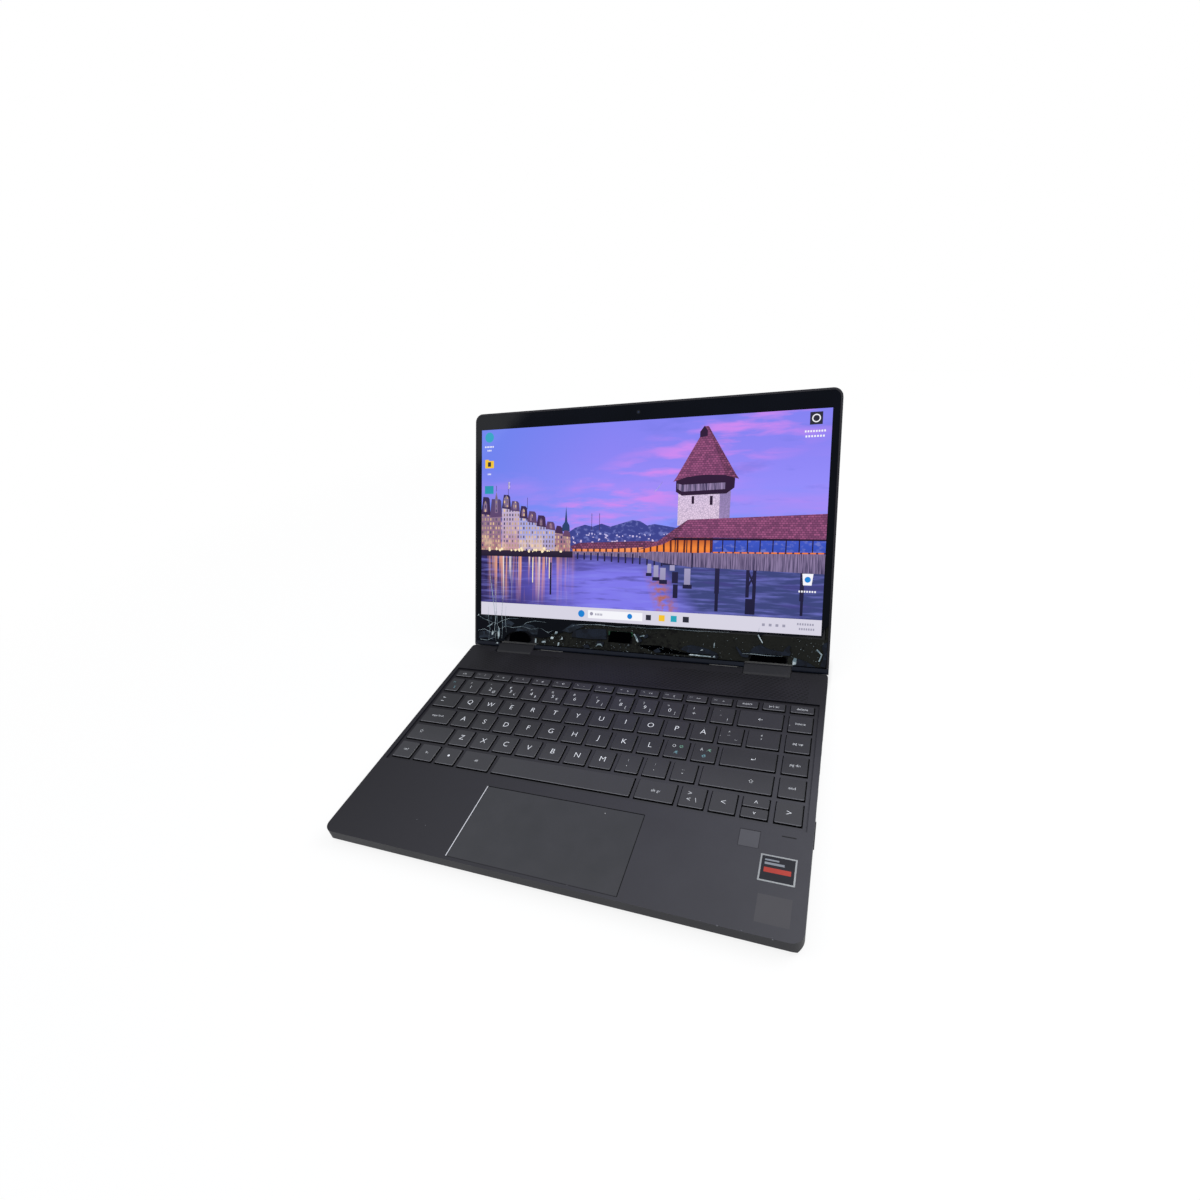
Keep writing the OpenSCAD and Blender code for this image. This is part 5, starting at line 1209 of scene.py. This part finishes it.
def crumbs():
    """Crumbs of glass and grit caught along the break, each a small three-sided chip."""
    rng = random.Random(7)
    shape = bmesh.new()
    for zone, count in (((-150, -118, 2.8, 22), 60), ((-92, -62, 2.6, 14), 60),
                        ((-56, 50, 2.8, 9.6), 110), ((-54, 20, 20, 24), 40),
                        ((54, 92, 2.8, 22), 26), ((126, 149, 3, 24), 46),
                        ((88, 126, 9, 18), 20)):
        for _ in range(count):
            x, s = rng.uniform(zone[0], zone[1]), rng.uniform(zone[2], zone[3])
            size = rng.uniform(0.12, 0.5)
            turn = rng.uniform(0, 6.3)
            ring = [shape.verts.new(on_lid(x + size*math.cos(turn + a), s + size*math.sin(turn + a),
                                           TAPE_FACE))
                    for a in (0, rng.uniform(1.6, 2.4), rng.uniform(3.6, 4.6))]
            tip = shape.verts.new(on_lid(x, s, TAPE_FACE + size*rng.uniform(0.6, 1.4)))
            for i in range(3):
                shape.faces.new((ring[i], ring[(i + 1) % 3], tip))
            shape.faces.new(ring[::-1])
    # crushed glass: grey grains with pale facets
    piece = new_piece("glass_crumbs", shape,
                      broken_glass("glass_crumb", "#3c4650", "#a9b6bc", 0.2))
    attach(piece, "lid")


broken_band()
crumbs()


# ---- palm rest details ----

def touchpad_edge():
    """The cut edge around the touchpad: a painted highlight on the left.

    The right and rear lines are painted shade.
    """
    low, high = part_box("touchpad_glass")
    gap, wide, thin = 0.25*MM, 0.65*MM, 0.3*MM
    x0, x1, y0, y1 = low.x - gap, high.x + gap, low.y - gap, high.y + gap
    # the left line is a painted highlight; the right and rear lines are painted shade
    lines = [("left", (x0 - wide, x0, y0, y1), BARE_EDGE),
             ("right", (x1, x1 + thin, y0, y1), KEY_WELL),
             ("rear", (x0, x1, y1, y1 + thin), KEY_WELL),
             ("front", (x0, x1, y0 - thin, y0), COVER)]
    pieces = []
    for name, (a, b, c, d), mat in lines:
        pieces.append(outline_mesh(name, [rectangle(a, b, c, d)], mat,
                                   lambda x, y: Vector((x, y, DECK_Z + 0.015*MM))))
    edge = join(pieces, "touchpad_edge")
    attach(edge, "base")


def label():
    """A small metallic label: dark field, a plain stripe and two bars."""
    low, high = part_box("palm_rest_label")
    middle = (low + high)/2
    half_w, half_d = (high.x - low.x)/2/MM, (high.y - low.y)/2/MM
    # printed film: satin, each field an even tone
    dark = moulded("label_dark_print", "#0f1017", "#1b1c25", 0.3)
    red = moulded("label_red_print", "#8f2a22", "#b33a2c", 0.35)
    grey = moulded("label_grey_print", "#6b7078", "#8a8f98", 0.35)

    def place(lift):
        return lambda x, y: Vector((middle.x + x*MM, middle.y + y*MM, high.z + lift*MM))
    pieces = [
        outline_mesh("field", [rectangle(-half_w + 0.9, half_w - 0.9, -half_d + 0.9,
                                         half_d - 0.9)], dark, place(0.01)),
        outline_mesh("stripe", [rectangle(-half_w + 2.6, half_w - 2.6, -2.6, 0.4)], red,
                     place(0.02)),
        outline_mesh("bars", [rectangle(-half_w + 2.6, 3.4, 2.2, 3.6),
                              rectangle(-half_w + 2.6, 0.4, 4.6, 5.6)], grey, place(0.02)),
    ]
    whole = join(pieces, "label_print")
    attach(whole, "base")


def deck_marks():
    """A dark status slot, the trace of a lost label, and the sensor's bright rim."""
    low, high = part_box("fingerprint_sensor")
    # old glue, a shade off the deck, and a dark window over the lamps
    trace = moulded("label_trace", "#37363b", "#3c3b40", 0.6)
    slot = moulded("status_slot", "#0b0b0d", "#121215", 0.3)
    rim = 0.35*MM
    top = DECK_Z + 0.012*MM
    half = 5.65*MM                      # half the sensor's opening
    middle = (low + high)/2

    def place(x, y):
        return Vector((x*MM, FRONT_Y + y*MM, top))
    pieces = [
        outline_mesh("slot", [rectangle(136.5, 144.4, 60.6, 61.4)], slot, place),
        outline_mesh("trace", [rectangle(128.4, 146, 7, 23)], trace, place),
    ]
    for a, b, c, d in ((-half - rim, -half, -half, half), (half, half + rim, -half, half),
                       (-half, half, half, half + rim), (-half, half, -half - rim, -half)):
        pieces.append(outline_mesh("rim", [rectangle(a, b, c, d)], COVER,
                                   lambda x, y: Vector((middle.x + x, middle.y + y, top))))
    whole = join(pieces, "deck_marks")
    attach(whole, "base")


LENS_UP = 198.8                         # mm above the upper shaft


def camera_lens():
    """The small lens above the picture, and its dark window."""
    # a coated lens, deep blue, in a black window
    lens = moulded("lens_glass", "#1a2238", "#2c3a5c", 0.05)
    ring = moulded("lens_window", "#05070c", "#070a10", 0.1)
    pieces = [outline_mesh("window", [disc(0, LENS_UP, 1.6)], ring,
                           lambda x, s: on_lid(x, s, 0.01)),
              outline_mesh("lens", [disc(0, LENS_UP, 0.7)], lens,
                           lambda x, s: on_lid(x, s, 0.02))]
    whole = join(pieces, "camera_lens")
    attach(whole, "lid")


touchpad_edge()
label()
deck_marks()
camera_lens()


# ---- floor, backdrop and light ----

# painted shadow on the floor under the lid's foot, in mm: none past the first number of each
# pair, full inside the second
SHADE_MIDDLE_Y = 33
SHADE_ACROSS = (156, 138)
SHADE_ALONG = (21, 9)
FLOOR_SIZE = 120
AIM = Vector((0, -0.02, 0.03))
# each lamp: its name, place, width and power
LAMPS_ROUND = (("soft_right", (0.9, 0.5, 1.1), 0.9, 14), ("soft_left", (-0.9, -0.4, 1.2), 0.9, 5),
               ("soft_top", (0.1, -0.2, 1.5), 1.2, 8))


def rays(tree, *kinds):
    """1 for any of the given kinds of ray."""
    path = node(tree, "LightPath")
    seen = path.outputs[kinds[0]]
    for kind in kinds[1:]:
        seen = node(tree, "Math", {0: seen, 1: path.outputs[kind]}, out=0, operation="MAXIMUM")
    return seen


def studio():
    """A white floor that keeps a soft shadow, an even white surround and three soft lamps.

    Under the lid's foot the floor has a painted shadow.
    """
    # plain white board: matt, white far out, and keeping the object's shadow near it
    mat, tree, shader = material("studio_white")
    seen = rays(tree, "Is Camera Ray", "Is Glossy Ray", "Is Transmission Ray")
    where = node(tree, "TexCoord", out="Object")
    away = node(tree, "VectorMath", {0: where}, out="Value", operation="LENGTH")
    away = node(tree, "MapRange", {"Value": away, "From Min": 0.25, "From Max": 0.9,
                                   "To Min": 0.86, "To Max": 1.0}, out=0)
    # the slits above the hinges would show a bright line of floor, so a painted shadow darkens it
    # there
    spot = node(tree, "SeparateXYZ", {"Vector": where})
    shade = None
    for axis, middle, (none, full) in (("X", 0, SHADE_ACROSS), ("Y", SHADE_MIDDLE_Y, SHADE_ALONG)):
        off = node(tree, "Math", {0: spot.outputs[axis], 1: middle*MM}, out=0,
                   operation="SUBTRACT")
        off = node(tree, "Math", {0: off}, out=0, operation="ABSOLUTE")
        near = node(tree, "MapRange", {"Value": off, "From Min": none*MM, "From Max": full*MM},
                    out=0)
        shade = near if shade is None else node(tree, "Math", {0: shade, 1: near}, out=0,
                                                operation="MULTIPLY")
    open_floor = node(tree, "Math", {0: 1.0, 1: shade}, out=0, operation="SUBTRACT")
    part = node(tree, "Math", {0: seen, 1: away}, out=0, operation="MULTIPLY")
    set_shader(tree, shader, Base_Color="#f2f2f2", Roughness=0.9, Specular_IOR_Level=0.0)
    white = node(tree, "Emission", {"Color": "#ffffff", "Strength": open_floor}, out=0)
    mix = node(tree, "MixShader", {0: part, 1: shader.outputs[0], 2: white}, out=0)
    tree.links.new(mix, tree.nodes["Material Output"].inputs["Surface"])
    bpy.ops.mesh.primitive_plane_add(size=FLOOR_SIZE, location=(0, 0, cad_box[0].z - 0.0002))
    floor = bpy.context.object
    floor.name = "floor"
    floor.data.materials.append(mat)

    world = bpy.context.scene.world or bpy.data.worlds.new("surround")
    bpy.context.scene.world = world
    world.use_nodes = True
    tree = world.node_tree
    tree.nodes.clear()
    dim = node(tree, "Background", {"Color": "#dfe3ea", "Strength": 0.5}, out=0)
    bright = node(tree, "Background", {"Color": "#ffffff", "Strength": 1.0}, out=0)
    seen = rays(tree, "Is Camera Ray", "Is Transmission Ray")
    mix = node(tree, "MixShader", {0: seen, 1: dim, 2: bright}, out=0)
    node(tree, "OutputWorld", {"Surface": mix})

    for name, place, size, power in LAMPS_ROUND:
        bpy.ops.object.light_add(type="AREA", location=place)
        lamp = bpy.context.object
        lamp.name = name
        lamp.data.size = size
        lamp.data.energy = power
        lamp.rotation_euler = (AIM - Vector(place)).to_track_quat("-Z", "Y").to_euler()


studio()
bpy.context.scene.view_settings.view_transform = "Standard"
